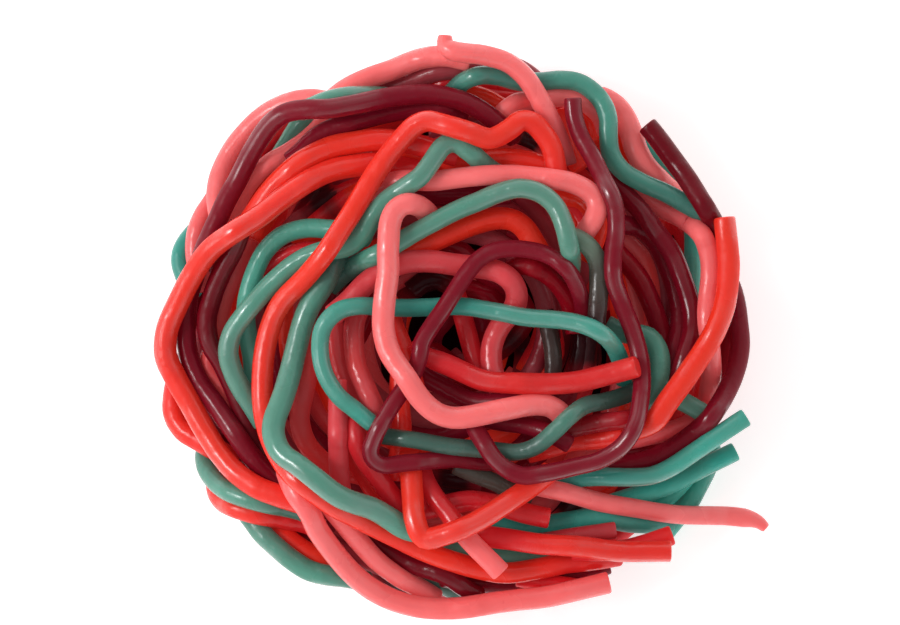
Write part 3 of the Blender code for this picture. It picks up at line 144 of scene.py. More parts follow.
# Where every lace lies. Kind, thickness in millimetres, and the points of its route:
# x and y in millimetres seen from above, and how high it lies in the tangle, 0 to 10.
laces = {
    "pinkLoop": ("pink", 3.7, ((-3.4, 18.2, 5), (-4.9, 19.8, 6.4), (-6.9, 20.6, 7.8), (-8.9, 19.9, 8.8),
        (-10.1, 17.8, 9), (-10.5, 14, 9), (-10.6, 9, 9), (-11.2, 4, 9), (-11.3, 0, 9), (-10.3, -4, 9),
        (-7.7, -8, 9), (-5, -12, 9), (-2.5, -14, 9), (0.5, -14.8, 9), (8, -13.6, 9), (13, -12.7, 9),
        (16, -12.9, 8), (18, -14.2, 6.6), (19, -15.8, 5.6))),
    "pinkArch": ("pink", 3.5, ((-14, 22.6, 3.4), (-11, 23.9, 4.4), (-8, 24.5, 4.6), (-5, 24.4, 5),
        (-2.5, 24.4, 6), (0, 24.7, 7), (4, 25.2, 7.6), (9, 25.4, 7.6), (15, 24.9, 7.6), (20, 24, 7.6),
        (23.3, 22, 7.4), (24, 20, 7.2), (23.4, 18, 6.4), (21.8, 15.5, 5), (20, 13, 3.8))),
    "pinkInner": ("coral", 3.7, ((-20, 2, 4), (-17, 4.6, 5.2), (-13.5, 8, 6), (-8.5, 10.7, 6.2),
        (-4, 11.1, 6.3), (0, 10.6, 6.4), (5, 10, 6.6), (7.8, 9.3, 6.8), (10, 7.6, 6.8),
        (10.8, 5.4, 6.6), (10.2, 3.2, 6.3), (8.6, 1.2, 6.2), (7.3, -1, 6.3), (6.5, -3.6, 6.2),
        (6.8, -7.2, 5), (8, -10.5, 3.6))),
    "pinkRight": ("pink", 3.4, ((28.5, 25, 3), (31.5, 22.4, 5), (35, 20, 6.4), (39, 17.9, 7),
        (41.6, 15.4, 6.8), (42.8, 12, 6.6), (42.9, 8, 6.4), (42.3, 2, 5.4), (42.9, -3, 4.6),
        (43.2, -7, 4.2), (42.9, -11, 4), (42.4, -14.6, 3.4))),
    "pinkTopEnd": ("pink", 3.4, ((-1.1, 48.6, 7.6), (-0.9, 46.6, 7.2), (1.5, 45.7, 7), (5, 45.3, 7),
        (9, 44.2, 7), (12, 41.9, 7), (14.2, 38.6, 6.8), (15.9, 35.5, 6), (17.3, 32.6, 5),
        (18.3, 30, 4.2), (19.2, 27, 3.2))),
    "pinkSlant": ("pink", 4, ((24.5, 38.5, 3), (26.5, 37.6, 3.6), (28.4, 35.8, 4), (29.7, 33, 4),
        (30.6, 30, 4), (32.1, 27.2, 4), (34.6, 24.5, 4), (37.6, 21.7, 3.6))),
    "pinkTopInner": ("pink", 3.3, ((13.5, 37.4, 4), (16.5, 38.3, 5), (20, 38.4, 5), (22.8, 37.2, 5),
        (24.8, 35.2, 4.6), (25.8, 32.4, 4))),
    "pinkCrown": ("pink", 3.6, ((-20.4, 37.6, 3), (-17.4, 39.9, 4), (-14, 41.6, 5.2), (-10, 43, 5.8),
        (-8, 43.8, 6), (-5, 44.8, 6), (-1, 45.2, 5.8), (3, 44.4, 5))),
    "pinkNub": ("pink", 3.2, ((7.2, 33, 3.6), (8, 35.2, 4.8), (9.5, 36.8, 5), (11.5, 37.8, 4.4),
        (14, 37.8, 3.4))),
    "pinkShoulder": ("pink", 3.5, ((-18.6, 36.9, 3), (-22, 37.9, 3.6), (-26, 37.8, 4), (-30, 36.3, 4),
        (-33.8, 33.3, 4), (-36.8, 29.5, 4), (-38.7, 25.6, 4), (-39.3, 22.4, 4), (-39, 19.4, 3.4),
        (-38.2, 16, 3))),
    "pinkNotch": ("pink", 3.3, ((-39, 23, 2.6), (-40.3, 20.9, 3.2), (-41.8, 18.6, 3.6),
        (-42.8, 15.8, 3.6), (-43, 13, 3.6), (-42.5, 10, 3.6), (-41.2, 6.5, 3))),
    "pinkCut": ("pink", 3.4, ((-0.2, -31.5, 5.2), (2.5, -34.8, 7), (5, -37.4, 7.8), (8.2, -40.6, 8))),
    "pinkTail": ("pink", 3.2, ((11, -25.2, 5.6), (14, -26.2, 6.2), (18, -27.1, 6.6), (24, -28.8, 6.8),
        (30, -30, 6.8), (38, -31.2, 6.4), (46, -31.5, 5.6), (49.2, -31.9, 5.2), (51.3, -32.5, 5),
        (52.7, -33.6, 4.8))),
    "pinkStub": ("coral", 2.8, ((14, -35.6, 4.4), (18, -35, 5.2), (22, -34.3, 5.8), (27.3, -33.6, 6))),
    "pinkSkirt": ("pink", 3.8, ((-27.5, -23.5, 5.2), (-26, -27, 6), (-23.6, -30.5, 6.4),
        (-22.4, -33.2, 6.4), (-20.6, -36, 6.4), (-17.4, -40, 6.2), (-14.8, -42.4, 6), (-10.5, -45, 5.8),
        (-6, -46.4, 5.6), (0, -46.7, 5.4), (8, -45.6, 5.4), (16, -44.7, 5.2), (21, -43.6, 5),
        (26.2, -42.4, 5))),
    "pinkSkirtTwin": ("pink", 3.4, ((-21.5, -27, 4.4), (-20, -29.8, 5), (-17.7, -32.8, 5.2),
        (-15, -36, 5.2), (-12.2, -39, 5.2), (-8.5, -41.7, 5), (-5, -43.6, 4.6), (-2.6, -45.2, 3.8))),
    "pinkDusty": ("coral", 3.2, ((29, -18.6, 3.4), (33, -17.9, 4.4), (37.5, -16.8, 4.6),
        (40, -15.5, 4.4), (42.2, -13, 3.4))),
    "pinkDeep": ("pink", 3.1, ((-36.6, 18.4, 2.6), (-35.4, 21.6, 3), (-33.2, 24.8, 3.8),
        (-30.3, 27.6, 4.2), (-27.4, 29.3, 4), (-24.6, 31.2, 3.8), (-22.4, 33.2, 3.4), (-20.6, 35.4, 3),
        (-19.5, 37.6, 2.6))),
    "redBow": ("red", 3.8, ((-3.5, 25.4, 4.2), (-8, 26.6, 5), (-12, 27.3, 5.6), (-16, 27, 6),
        (-20, 26.2, 6.6), (-24, 24.3, 7), (-28, 21.5, 7), (-32, 18.5, 7), (-36, 16, 7), (-40, 13, 7),
        (-43, 9, 7), (-45.6, 4, 7), (-47.5, -0.5, 7), (-47.7, -4.5, 7), (-46.2, -8, 7), (-44, -12, 7),
        (-39.3, -20, 7), (-36.2, -23.8, 7), (-32.6, -26.3, 7), (-29, -27.7, 6.4), (-25.5, -28.8, 5),
        (-22.5, -29.8, 4))),
    "redTopArc": ("red", 3.7, ((-34.4, 16.8, 3), (-32.6, 19.4, 3.6), (-30.4, 22.4, 4.6), (-28, 25, 5.2),
        (-24.4, 28, 5.4), (-20, 30.1, 5.6), (-16, 30.9, 5.8), (-12, 31.3, 5.6), (-7.5, 30.8, 5.2),
        (-3, 29.6, 4.6), (1, 28.4, 4))),
    "redTopLow": ("red", 3.6, ((-13, 29.4, 3.8), (-9.5, 29.7, 4.2), (-6, 28.8, 4.6), (-2, 28, 4.6),
        (3, 27.4, 4.6), (7, 28.2, 4.4), (12, 27.9, 4.4), (16, 26.8, 4))),
    "redLong": ("red", 3.6, ((17.4, 25.5, 5), (17, 28, 6.2), (16.3, 30.4, 7), (15, 32.4, 7.4),
        (13.3, 34.1, 7.6), (11.6, 34.5, 7.6), (9.8, 33.2, 7.4), (8, 32, 7.4), (6, 31.4, 7.6),
        (3, 32.4, 8), (-1, 33.6, 8), (-4, 34.3, 8), (-6, 33.6, 8), (-7.8, 31.9, 8), (-11, 28, 8),
        (-13.6, 24, 8), (-18.6, 16, 8), (-21.2, 12, 8), (-24.6, 8, 8), (-28.4, 4, 8), (-30.2, 0, 8),
        (-31.2, -5, 8), (-31.5, -10, 8), (-30.8, -16, 7.4), (-29.4, -20, 6.8), (-26.7, -24, 6.8),
        (-23.1, -27, 6.8), (-19.7, -29.4, 6.8), (-12, -33.4, 6.8), (-4, -37.3, 6.8), (0, -38.8, 6.8),
        (4, -40, 6.8), (9, -40.8, 6.4), (14, -40.2, 5.4), (19, -39.2, 4.8), (24, -38.6, 4.2),
        (28, -38, 3.6))),
    "redBar": ("cherry", 3.6, ((-6.6, -2.6, 6), (-4.2, -4.6, 7.2), (-1, -6, 7.8), (2, -7.4, 8),
        (5, -8.6, 8.2), (12, -9.2, 8.4), (20, -9, 8.6), (26, -7.6, 9.2), (30.7, -6.3, 9.6))),
    "redRight": ("red", 3.8, ((45.2, 18.4, 6.6), (45.7, 14, 7), (45.9, 10, 7), (45.2, 4, 7),
        (43.8, 0, 7.2), (41.5, -4, 7.4), (38.8, -8, 7.6), (35.7, -12.3, 7.6), (33.4, -15.6, 7.4),
        (31.5, -16.9, 6.9), (29.7, -17.7, 6.4))),
    "redHook": ("red", 3.8, ((-12, 10.8, 4.6), (-8, 12.5, 5.8), (-4, 14.2, 6.2), (0, 15.9, 6.4),
        (4, 17.4, 6.8), (7.6, 18.2, 7), (10.4, 17.8, 7), (12.2, 16.4, 6.8), (13.5, 14.4, 6),
        (14.8, 12, 4.6))),
    "redCentreDeep": ("ruby", 3.2, ((0.6, 6, 4.4), (1.5, 3, 4.6), (2.6, -1, 4.8), (3.8, -5.5, 4.6),
        (4.6, -9, 4))),
    "redVee": ("red", 3.7, ((-7, -20.5, 5.2), (-6.8, -24, 6.8), (-6.5, -28, 7.8), (-6.1, -32, 8.4),
        (-4.6, -34.8, 8.8), (-1.5, -34.3, 8.8), (4, -32, 8.8), (8, -29.6, 8.6), (12, -27, 8.2),
        (14.5, -25.2, 7.2), (16.5, -23.6, 6))),
    "redShort": ("ruby", 3.5, ((-7.4, -30.8, 4), (-4.5, -30.2, 4.8), (-1, -29.4, 5.4), (3, -28.8, 5.8),
        (8, -29.5, 6), (12, -30.7, 6), (16.2, -31.6, 6))),
    "redLowEnd": ("red", 3.6, ((4, -34.4, 4), (8, -34.9, 5), (14, -35.8, 5.4), (20, -36.2, 5.6),
        (28, -37.1, 6), (36.4, -37.1, 6))),
    "redLowTwin": ("red", 3.4, ((20, -37, 4.4), (24, -37.2, 4.8), (28, -37, 5), (31, -36.4, 5),
        (34, -35.5, 5), (36.7, -34.5, 5))),
    "redHem": ("red", 3.5, ((-32, -31.8, 3), (-29.5, -33.6, 3.4), (-27.2, -35.4, 3.6),
        (-24.6, -37.2, 3.7), (-21.5, -38.6, 3.7), (-17, -40.5, 3.2))),
    "redHemOuter": ("red", 3.5, ((-39.4, -25.2, 2.8), (-39.4, -27.3, 3), (-38, -29.1, 3.3),
        (-35, -30.3, 3.5), (-31.5, -31.2, 3.6), (-28, -31.9, 3.7), (-25, -32.4, 3.7),
        (-21.5, -33.6, 3.4))),
    "redBulge": ("red", 4, ((-45.6, -7.6, 3.4), (-46.3, -11, 4), (-46.4, -14.2, 4.4), (-45, -16.9, 4.6),
        (-42.3, -18.6, 4.8), (-39, -20.6, 4.4), (-36, -22.6, 3.8))),
    "redLeftDeep": ("rose", 3.4, ((-33.6, 15, 2.2), (-35, 12, 2.6), (-36.6, 8.6, 3), (-38.2, 4.6, 3.4),
        (-38.9, 1, 3.6), (-39.2, -2, 3.6), (-40.4, -6, 3.6), (-38.5, -9.4, 3.6), (-37, -13, 3.4),
        (-35.5, -16.5, 3))),
    "redStrandA": ("ruby", 3.2, ((17, -17.6, 4), (20, -16.6, 4.4), (24, -15.8, 4.8), (28.5, -15.2, 5),
        (32.5, -14.6, 4.6))),
    "redStrandB": ("cherry", 3.2, ((12.5, -21, 3), (16.5, -20, 3.8), (20, -18.9, 4.2), (25, -18.5, 4.4),
        (28.5, -17.6, 4.2))),
    "redInnerSlant": ("ruby", 3.5, ((-15.2, -13, 4), (-15.9, -16, 4.8), (-15.5, -19.5, 5.4),
        (-13.6, -23, 5.8), (-11.4, -26, 5.8), (-9.6, -28.6, 5.4), (-8.3, -31, 4.6))),
    "redInnerDrop": ("red", 3.3, ((-8.6, -7, 4.4), (-8.8, -10, 4.8), (-8.5, -13.5, 5), (-8.3, -17, 5.2),
        (-8.8, -21, 5.2), (-9.8, -25, 4.8))),
    "redInnerLeft": ("cherry", 3.3, ((-10.6, 5, 4.6), (-9.8, 1, 5.6), (-8.2, -3, 6), (-7, -6.4, 5.4),
        (-6, -10, 4.4))),
    "redRimSpot": ("red", 3.3, ((19.6, 37, 2.8), (22, 35.8, 3.4), (23.6, 33.6, 3.6), (24.4, 30.6, 3))),
    "redArchDeep": ("red", 3.4, ((15.5, 22.4, 3.4), (18.5, 22, 4), (21.5, 21.4, 4.2), (23.6, 19, 4.4),
        (24.1, 16.5, 4.4), (23.4, 13.8, 4), (22, 11.5, 3.2))),
    "redGap": ("cherry", 3, ((-34, 5, 2.8), (-31.8, 8.6, 4.4), (-29, 11.2, 5), (-25.6, 12.8, 4.4),
        (-22, 13, 3.4))),
    "redSkirtBit": ("red", 2.8, ((10.8, -41.8, 3.8), (13.6, -42.2, 4.6), (16.6, -42.6, 4.9),
        (19.6, -43, 4.6), (22.5, -43.6, 4))),
    "redInnerTwin": ("ruby", 3.3, ((-18, -17, 3), (-16.5, -21, 3.4), (-14, -25.5, 3.6),
        (-11.5, -29.5, 3.4))),
    "redCutTop": ("ruby", 3.3, ((-5.4, -22, 4.6), (-4.6, -25, 5.6), (-3, -27.8, 6.4), (-0.5, -31, 6.4),
        (1, -33.5, 5.6))),
    "redSlantInner": ("red", 3.2, ((27, 36.5, 3), (28.2, 33.5, 3.4), (29.3, 30.5, 3.4), (31, 28, 3.4),
        (33, 26, 3))),
    "redTopSpot": ("cherry", 3, ((-32.5, 29.5, 2.6), (-30.6, 31.4, 3), (-28.6, 33.4, 3),
        (-26, 35, 2.6))),
    "redCrown": ("cherry", 3.2, ((-4.5, 39, 3), (-1.8, 40.5, 3.8), (1, 42, 3.8), (4, 42.6, 3.2))),
    "redNook": ("red", 3.3, ((0.5, 39.4, 3), (3.6, 38.9, 3.4), (6.6, 37.8, 3.4), (9.5, 36, 3))),
    "redNookRight": ("red", 3.3, ((17.6, 36.2, 3), (18.8, 33, 3.4), (19.8, 29.6, 3.4),
        (21.4, 26.4, 3.2))),
    "roseDropA": ("rose", 3.5, ((-14.6, 4.6, 3.6), (-16, 1.3, 4.2), (-16.3, -2, 4.4), (-15.8, -6, 4.4),
        (-14.3, -10, 4.4), (-12.6, -13.8, 4.2), (-11, -18, 3.6))),
    "roseDropB": ("rose", 3.3, ((-19.7, 2, 3.4), (-19.5, -1, 3.8), (-19, -5, 3.8), (-17.8, -9, 3.6),
        (-16.6, -12.6, 3.2))),
    "roseDropC": ("coral", 3.3, ((-19, -8.5, 3.8), (-18.9, -12, 4.6), (-18.9, -17, 5.6),
        (-18.8, -21, 5.6), (-18.6, -25, 5), (-18.2, -28.5, 4))),
    "roseDropD": ("rose", 3.4, ((-22.6, 0, 3), (-23.5, -5, 3.6), (-24.5, -10, 3.8), (-25.4, -15, 3.8),
        (-24.3, -19, 3.8), (-21, -22.6, 3.6), (-17.5, -25.6, 3.2))),
    "greenZigzag": ("green", 3.4, ((9.5, 24.4, 4.8), (6.8, 26, 5.8), (4.8, 27.6, 6.6), (2.4, 29.6, 7),
        (0.3, 30.8, 7), (-1.5, 30.1, 7), (-3.2, 27.8, 7), (-5.2, 25.1, 7), (-8, 23.2, 7), (-11, 21, 7),
        (-13, 18.6, 7), (-14.9, 15.4, 7), (-17.6, 13.4, 6.8), (-22, 12.6, 6.6), (-26, 10.7, 7),
        (-29.5, 7.8, 7), (-32.3, 4.8, 7), (-34.8, 1.8, 7), (-36.6, -1, 6.8), (-37.2, -4, 6.6),
        (-36.3, -7.5, 6.4), (-34.8, -10.5, 6), (-33.2, -13, 5.4), (-31.4, -16, 4.4))),
    "greenTwin": ("fern", 3.2, ((-13.6, 14.8, 4.8), (-17, 16, 5.6), (-20.5, 16.4, 6),
        (-24.5, 16.5, 6.4), (-28.2, 15.4, 6.4), (-30.9, 13, 6.4), (-32.5, 10, 6.2), (-33.6, 6.8, 5.6),
        (-34.3, 3, 5), (-34, -1, 5), (-33.4, -4.5, 4.8), (-33, -9, 4.2))),
    "greenArch": ("green", 3.3, ((-20.5, 6.6, 4.6), (-18, 9, 5.4), (-15.5, 10.8, 6.2), (-12.5, 12.2, 7),
        (-8.8, 14.2, 7.4), (-6, 15.9, 7.8), (-3, 17.6, 8), (0, 19.1, 8.2), (4, 20.8, 8.4),
        (8, 22.4, 8.6), (11.5, 23.1, 8.6), (14.8, 22.2, 8.6), (17, 20.2, 8.4), (18.4, 17.4, 7.8),
        (19.2, 14.4, 6.6), (19.8, 11.6, 5.2), (20.1, 8.8, 4))),
    "greenArchTail": ("sage", 3.2, ((18.4, 15.6, 4.6), (20.5, 14.9, 5.4), (22.6, 13.5, 6),
        (24.1, 11, 6), (24.3, 7, 5.8), (24.1, 3, 5.2), (23.6, -1, 4.4))),
    "greenWide": ("green", 3.8, ((-18.4, 13.4, 3.6), (-20, 10, 5), (-21.2, 7.4, 6.4), (-23.6, 3.6, 7.6),
        (-25, 0, 8.2), (-26, -4, 8.6), (-27, -8, 8.6), (-28.2, -12, 8.8), (-29.3, -15, 9),
        (-29.5, -17.6, 9), (-28.3, -20.5, 9), (-25.4, -22.6, 9), (-22.8, -24.7, 8.8),
        (-20.5, -26.6, 8.8), (-18.2, -28.1, 8.6), (-15.5, -29.1, 8.6), (-13, -30, 8.4),
        (-10.3, -31.6, 8), (-7.9, -33.1, 7.6), (-5.6, -33.8, 7))),
    "greenRight": ("green", 3.5, ((25.6, 0.5, 4.6), (28, -0.7, 5.6), (30.3, -1, 6), (32.6, -1.6, 6.4),
        (34.2, -3.8, 6.6), (34.5, -7, 6.4), (33.6, -10.2, 6), (31.8, -13, 4.6), (30, -16, 3.4))),
    "greenTopWave": ("fern", 3.2, ((-2, 37.4, 3.6), (0, 39.2, 4.8), (2, 41, 5.6), (5, 42, 6),
        (8, 41.8, 6.2), (11, 41, 6.2), (14.5, 41, 6.2), (18, 41.3, 6.4), (21.5, 40.7, 6.4),
        (24.4, 38.4, 6.4), (25.8, 35.5, 6.4), (26, 32, 6.4), (26.4, 29, 6.4), (28.2, 26.3, 6.4),
        (31.5, 24.3, 6), (35.5, 22.5, 5.2), (38.4, 20.9, 4.6), (40.8, 19.5, 4), (42.8, 18.2, 3.4))),
    "greenRimStrip": ("jade", 3.1, ((31.5, 31.5, 2.8), (34.2, 28.8, 3.4), (36.8, 25.6, 3.6),
        (39, 22, 3.6), (40.2, 17, 3.6), (40.3, 11, 3.8), (40.2, 6, 3.6), (40, 0, 3))),
    "greenEndUpper": ("jade", 3.1, ((16, -25.6, 4.6), (20, -25, 5.4), (24, -24.7, 5.8), (33, -24.6, 6),
        (36.4, -23.2, 6), (40, -20.8, 6), (44, -18, 6), (48.9, -14.8, 5.8))),
    "greenEndLower": ("teal", 3.2, ((26, -29.4, 4), (29.4, -28.4, 4.8), (32.5, -27.5, 5.2),
        (36, -26.3, 5.4), (39.5, -24.6, 5.4), (43, -22.8, 5.4), (47.4, -20.6, 5.2))),
    "greenRing": ("jade", 3.3, ((43.4, -19.5, 2.6), (42.9, -23, 3), (41.6, -26, 3.2),
        (39.6, -29.6, 3.2), (37.5, -32.2, 3.2), (35.5, -34.6, 3), (34, -36.6, 2.6))),
    "greenLowRight": ("jade", 3.4, ((3, -31.6, 3.4), (7, -32.7, 4.4), (12, -33.3, 4.8), (16, -32.8, 5),
        (20, -32.2, 5), (25, -31.6, 4.8), (30, -32.5, 4.6), (34, -32.7, 4.2), (36.6, -32.8, 3.6))),
    "greenHem": ("green", 3.5, ((-34.6, -30.4, 2.2), (-33, -32.4, 2.6), (-31.5, -34.3, 3.6),
        (-29.2, -36.5, 4.4), (-26.8, -38.5, 4.4), (-24, -40.3, 4.4), (-21, -41.2, 4.2),
        (-17.5, -41.6, 3.8), (-14, -42.4, 3.2))),
    "greenLeftLow": ("green", 3.3, ((-41, -19.8, 3.2), (-41.4, -22, 4), (-40.6, -24.3, 4.4),
        (-39.1, -26.1, 4.6), (-37, -27.4, 4.6), (-34, -28.4, 4.6), (-30.5, -29.3, 4.6), (-27, -30, 4.4),
        (-24, -30.9, 3.9))),
    "greenCentreRing": ("jade", 3, ((-13.1, -15.9, 7), (-14.6, -14.7, 7.2), (-16.4, -13.2, 7.4),
        (-18.6, -11.4, 7.4), (-20.8, -8, 7.4), (-21.8, -4, 7.4), (-21.3, 0, 7.4), (-19, 2.7, 7.4),
        (-16, 3.6, 7.4), (-12, 3.5, 7.4), (-8, 3.3, 7.4), (-3, 3.5, 7.4), (2, 3.6, 7.4), (8, 2.6, 7.4),
        (12, 1.8, 7.4), (20, 1, 7.4), (24, -0.5, 7.2), (26.5, -2.6, 7), (28, -5.4, 6.4),
        (28.6, -9, 5.4))),
    "greenUnderLoop": ("green", 2.9, ((-13.5, -17.6, 5), (-10.5, -18, 5.8), (-6, -18.6, 6.2),
        (0, -19.6, 6.4), (4, -20, 6.6), (8, -20.3, 7), (11, -20.5, 7.4), (14, -19.5, 8), (17, -17, 8.8),
        (19.5, -14.6, 9), (22.2, -12.8, 8.6), (26, -12, 7.6), (30, -10.6, 6.8), (33, -8.4, 5.4))),
    "greenCentreDeep": ("sage", 3, ((15.4, 3, 2.8), (16, 0, 3.2), (16.6, -3, 3.6), (16.8, -7, 3.4),
        (16.4, -11, 3))),
    "greenPatch": ("green", 3.2, ((33.4, -9.4, 3.4), (36, -11, 4), (39.5, -12.8, 4.4),
        (43, -14.8, 4.2))),
    "greenLowDeep": ("sage", 3, ((0.5, -22.8, 3), (4, -24.4, 4), (7, -25.6, 4.2), (10, -27.2, 4),
        (13, -28.6, 3.8))),
    "greenTopEdge": ("green", 3.2, ((-25.5, 35.8, 3.2), (-22.6, 37.1, 4.2), (-20, 38, 4.6),
        (-17.5, 38.5, 4.6), (-14, 38.7, 4.6), (-10, 38.4, 4))),
    "greenTopDeep": ("green", 3.7, ((-21.5, 37.2, 2.6), (-24, 35.3, 3.4), (-25.8, 33, 3.6),
        (-27.4, 30.4, 3.4), (-29.6, 27, 2.6))),
    "greenLowDark": ("green", 3.6, ((-7, -34, 3), (-3, -36.2, 4.6), (1, -37.4, 5), (5.4, -38, 4.8),
        (10, -38.4, 4.4), (15, -38.3, 4), (20, -38.2, 3.6), (24, -37.8, 3.2))),
    "greenRingMid": ("jade", 3.2, ((40.8, -22.6, 3), (38.9, -25.4, 3.6), (36.4, -28, 3.8),
        (33.4, -30.6, 3.4), (30, -33, 3))),
    "greenHemBit": ("green", 3.2, ((-5, -41, 2.8), (-1.5, -42.9, 3.8), (1.5, -44.6, 3.8),
        (4.5, -46, 3))),
    "greenRingInner": ("jade", 3.2, ((42.5, -21.5, 2.8), (41, -25, 3), (38.6, -28.4, 3),
        (36, -31.5, 3))),
    "tealLeftEdge": ("jade", 3.2, ((-42.8, 16.4, 2.6), (-44, 15, 3), (-45.2, 13, 3), (-45.4, 11, 3),
        (-44.7, 8.6, 3), (-43.2, 5.2, 2.6))),
    "maroonRightDeep": ("wine", 3.4, ((25, 15, 2.6), (28, 12, 3.2), (31, 8.5, 3.4), (33, 4.5, 3.6),
        (34.6, 0, 3.6), (36, -5, 3.4), (36.6, -10, 3))),
    "maroonTop": ("maroon", 3.4, ((10.5, 31.5, 4.4), (8, 33.6, 5.2), (5, 36, 5.8), (1, 38, 6),
        (-4, 38.8, 6.2), (-10, 38.3, 6.4), (-16, 37.1, 6.4), (-20, 36.4, 6.4), (-24, 36.2, 6.4),
        (-27.2, 35.8, 6.4), (-29.6, 34.3, 6.4), (-31.6, 31.9, 6.4), (-33.4, 29, 6.4),
        (-35.2, 25.5, 6.4), (-37.1, 22, 6.2), (-38.8, 18.5, 6), (-40.4, 15, 5.6), (-42.2, 10.5, 4.8),
        (-43.8, 6, 4.8), (-44.4, 0, 5), (-44, -4, 5.2), (-42.3, -8.5, 5.4), (-39.5, -12.5, 5.6),
        (-34, -20.5, 5.8), (-31, -24, 5.8), (-28, -26.8, 5.2), (-25, -29, 4.4))),
    "maroonTopTwin": ("maroon", 3.4, ((-27, 27.6, 2.8), (-24.8, 29.6, 4), (-22.6, 31.7, 5),
        (-20, 33.1, 5.4), (-14, 35, 5.2), (-8, 36.3, 4.8), (-3, 36.8, 4.6), (2, 35.4, 4))),
    "maroonLeft": ("maroon", 3.4, ((-35.2, 16, 3.6), (-36.4, 12.8, 4.2), (-38.4, 9, 4.6), (-40, 5, 4.8),
        (-40.8, 1, 5), (-40.3, -2.5, 5.2), (-38.3, -6, 5.2), (-36.4, -10, 5.2), (-34.8, -14, 5),
        (-33.3, -18, 4.6), (-31.6, -21.4, 4))),
    "maroonCentre": ("maroon", 2.9, ((21.4, -0.4, 2.8), (21.7, 3.4, 4.6), (21, 6.2, 6.8), (19.6, 9, 8),
        (17, 11.4, 8.6), (14, 12.7, 8.7), (10, 13.2, 8.7), (7, 12.8, 8.7), (4.6, 11.5, 8.7),
        (2.6, 9.2, 8.8), (0.6, 6.3, 8.8), (-1.5, 3, 8.9), (-3.5, 0, 8.8), (-5, -2.6, 8.8),
        (-5.4, -5, 8.4), (-6.6, -8, 7.4), (-9.4, -12, 7.2), (-11.2, -15, 7.8), (-12.9, -18.5, 8.2),
        (-13.5, -21, 8.4), (-11.6, -22.6, 8.4), (-8, -22.3, 8.4), (-4, -22, 8.2), (0, -21.7, 7.8),
        (5, -22.2, 6), (9, -22.4, 4.6))),
    "maroonHook": ("maroon", 3, ((20, 38.2, 7.4), (20.3, 35, 7.6), (21.5, 31.5, 7.8), (23.5, 28, 8),
        (25.2, 24.4, 8.2), (26.9, 20.5, 8.2), (27.2, 16, 8.2), (26.7, 12, 8.2), (26.8, 8, 8.2),
        (28.2, 4, 8.4), (29.8, 0, 8.4), (31, -4, 8.6), (31.5, -8, 8.7), (31.2, -12, 8.8),
        (30.3, -16, 8.9), (28, -19.6, 8.9), (24.5, -21.8, 9), (20, -23, 9), (15, -24.1, 9),
        (11.5, -24.4, 9), (8.5, -23, 8.9), (6.5, -20.9, 8.7), (5, -18.5, 8.1), (3.9, -16.6, 7.2),
        (3, -14, 6))),
    "maroonRightRim": ("maroon", 3.3, ((45.9, 9, 4.2), (47.2, 5.6, 5), (47.9, 1, 5.4), (48.1, -3, 5.4),
        (46.9, -8, 5.4), (44.9, -12, 5.4), (41.5, -16.4, 5.4), (37, -19.8, 5.4), (33, -21.8, 5.4),
        (28.5, -22.6, 5), (25.5, -22.4, 4.4))),
    "maroonCutEnd": ("maroon", 3.4, ((32.4, 33.8, 5.4), (34.3, 31.5, 5.6), (36.9, 28, 5.8),
        (39.3, 24.5, 5.8), (41.4, 21, 5.6), (43.5, 17.6, 5.2), (44.8, 14.4, 4.4))),
    "maroonStrandA": ("maroon", 3.3, ((24.2, 27.4, 3.6), (26.5, 24.5, 4.2), (29, 22, 4.6),
        (31.5, 19.3, 4.6), (34, 16, 4.6), (36.5, 12.5, 4.8), (38.4, 8, 5), (39.9, 3, 5.2),
        (39.8, -1, 5.4), (38.6, -5, 5), (37.4, -9, 4.4))),
    "maroonStrandB": ("maroon", 3.3, ((24.6, 18, 3), (28.5, 17.2, 3.6), (31.5, 16.5, 3.8),
        (34.2, 14, 4), (36, 10, 4.2), (37.4, 6, 4.4), (38, 2, 4.4), (37.4, -2.5, 4.2),
        (36.2, -7, 3.6))),
    "maroonCrown": ("mauve", 3.3, ((-14.5, 39.4, 3.6), (-11, 40.2, 4.4), (-6.5, 41.1, 5),
        (-3, 42.6, 5.2), (1, 43.1, 5.2), (6, 43.4, 5), (9.4, 43.7, 4.8), (11.6, 43, 4.6),
        (13.8, 41.4, 4.4), (15.5, 39.4, 4))),
    "maroonHemA": ("maroon", 3.3, ((-16.6, -32, 3.6), (-14, -34.6, 4.2), (-10, -37.5, 4.6),
        (-6, -39.5, 4.8), (-1, -41.2, 4.8), (2, -43.2, 4.4), (4.6, -44.8, 4))),
    "maroonHemB": ("maroon", 3.3, ((-1.6, -41.6, 3.4), (2, -42.3, 4.2), (8, -42.8, 4.8),
        (12, -42.8, 4.6), (17, -41.6, 4.2), (22, -40.8, 4.4), (26.3, -39.6, 4.4))),
    "maroonHemC": ("maroon", 3.2, ((-30, -32.6, 2.8), (-27, -34, 3.4), (-24.3, -35.3, 3.8),
        (-21, -36.6, 3.4))),
    "maroonInner": ("maroon", 3, ((-7.4, -4.4, 4), (-4.5, -8, 4.8), (-1, -10, 5.2), (3, -12, 5.2),
        (7, -12.3, 5), (11, -11, 4.4))),
    "maroonBelow": ("maroon", 3, ((4.6, -15, 4), (8, -15.6, 4.6), (12, -16.1, 4.8), (15.6, -17.2, 4.8),
        (19.6, -19.4, 4.2))),
    "maroonCentreTwin": ("wine", 3.2, ((9.4, 9.6, 4.6), (11.6, 10.4, 5.6), (14.4, 9.6, 6.2),
        (17.2, 7.6, 6.2), (19.2, 4.8, 5.6), (20.2, 1.4, 4.2), (20.4, -1, 3.4))),
    "maroonRimInner": ("wine", 3.2, ((45.6, 3, 3), (45.9, -3, 3.2), (45, -8, 3.4), (43, -12, 3.4),
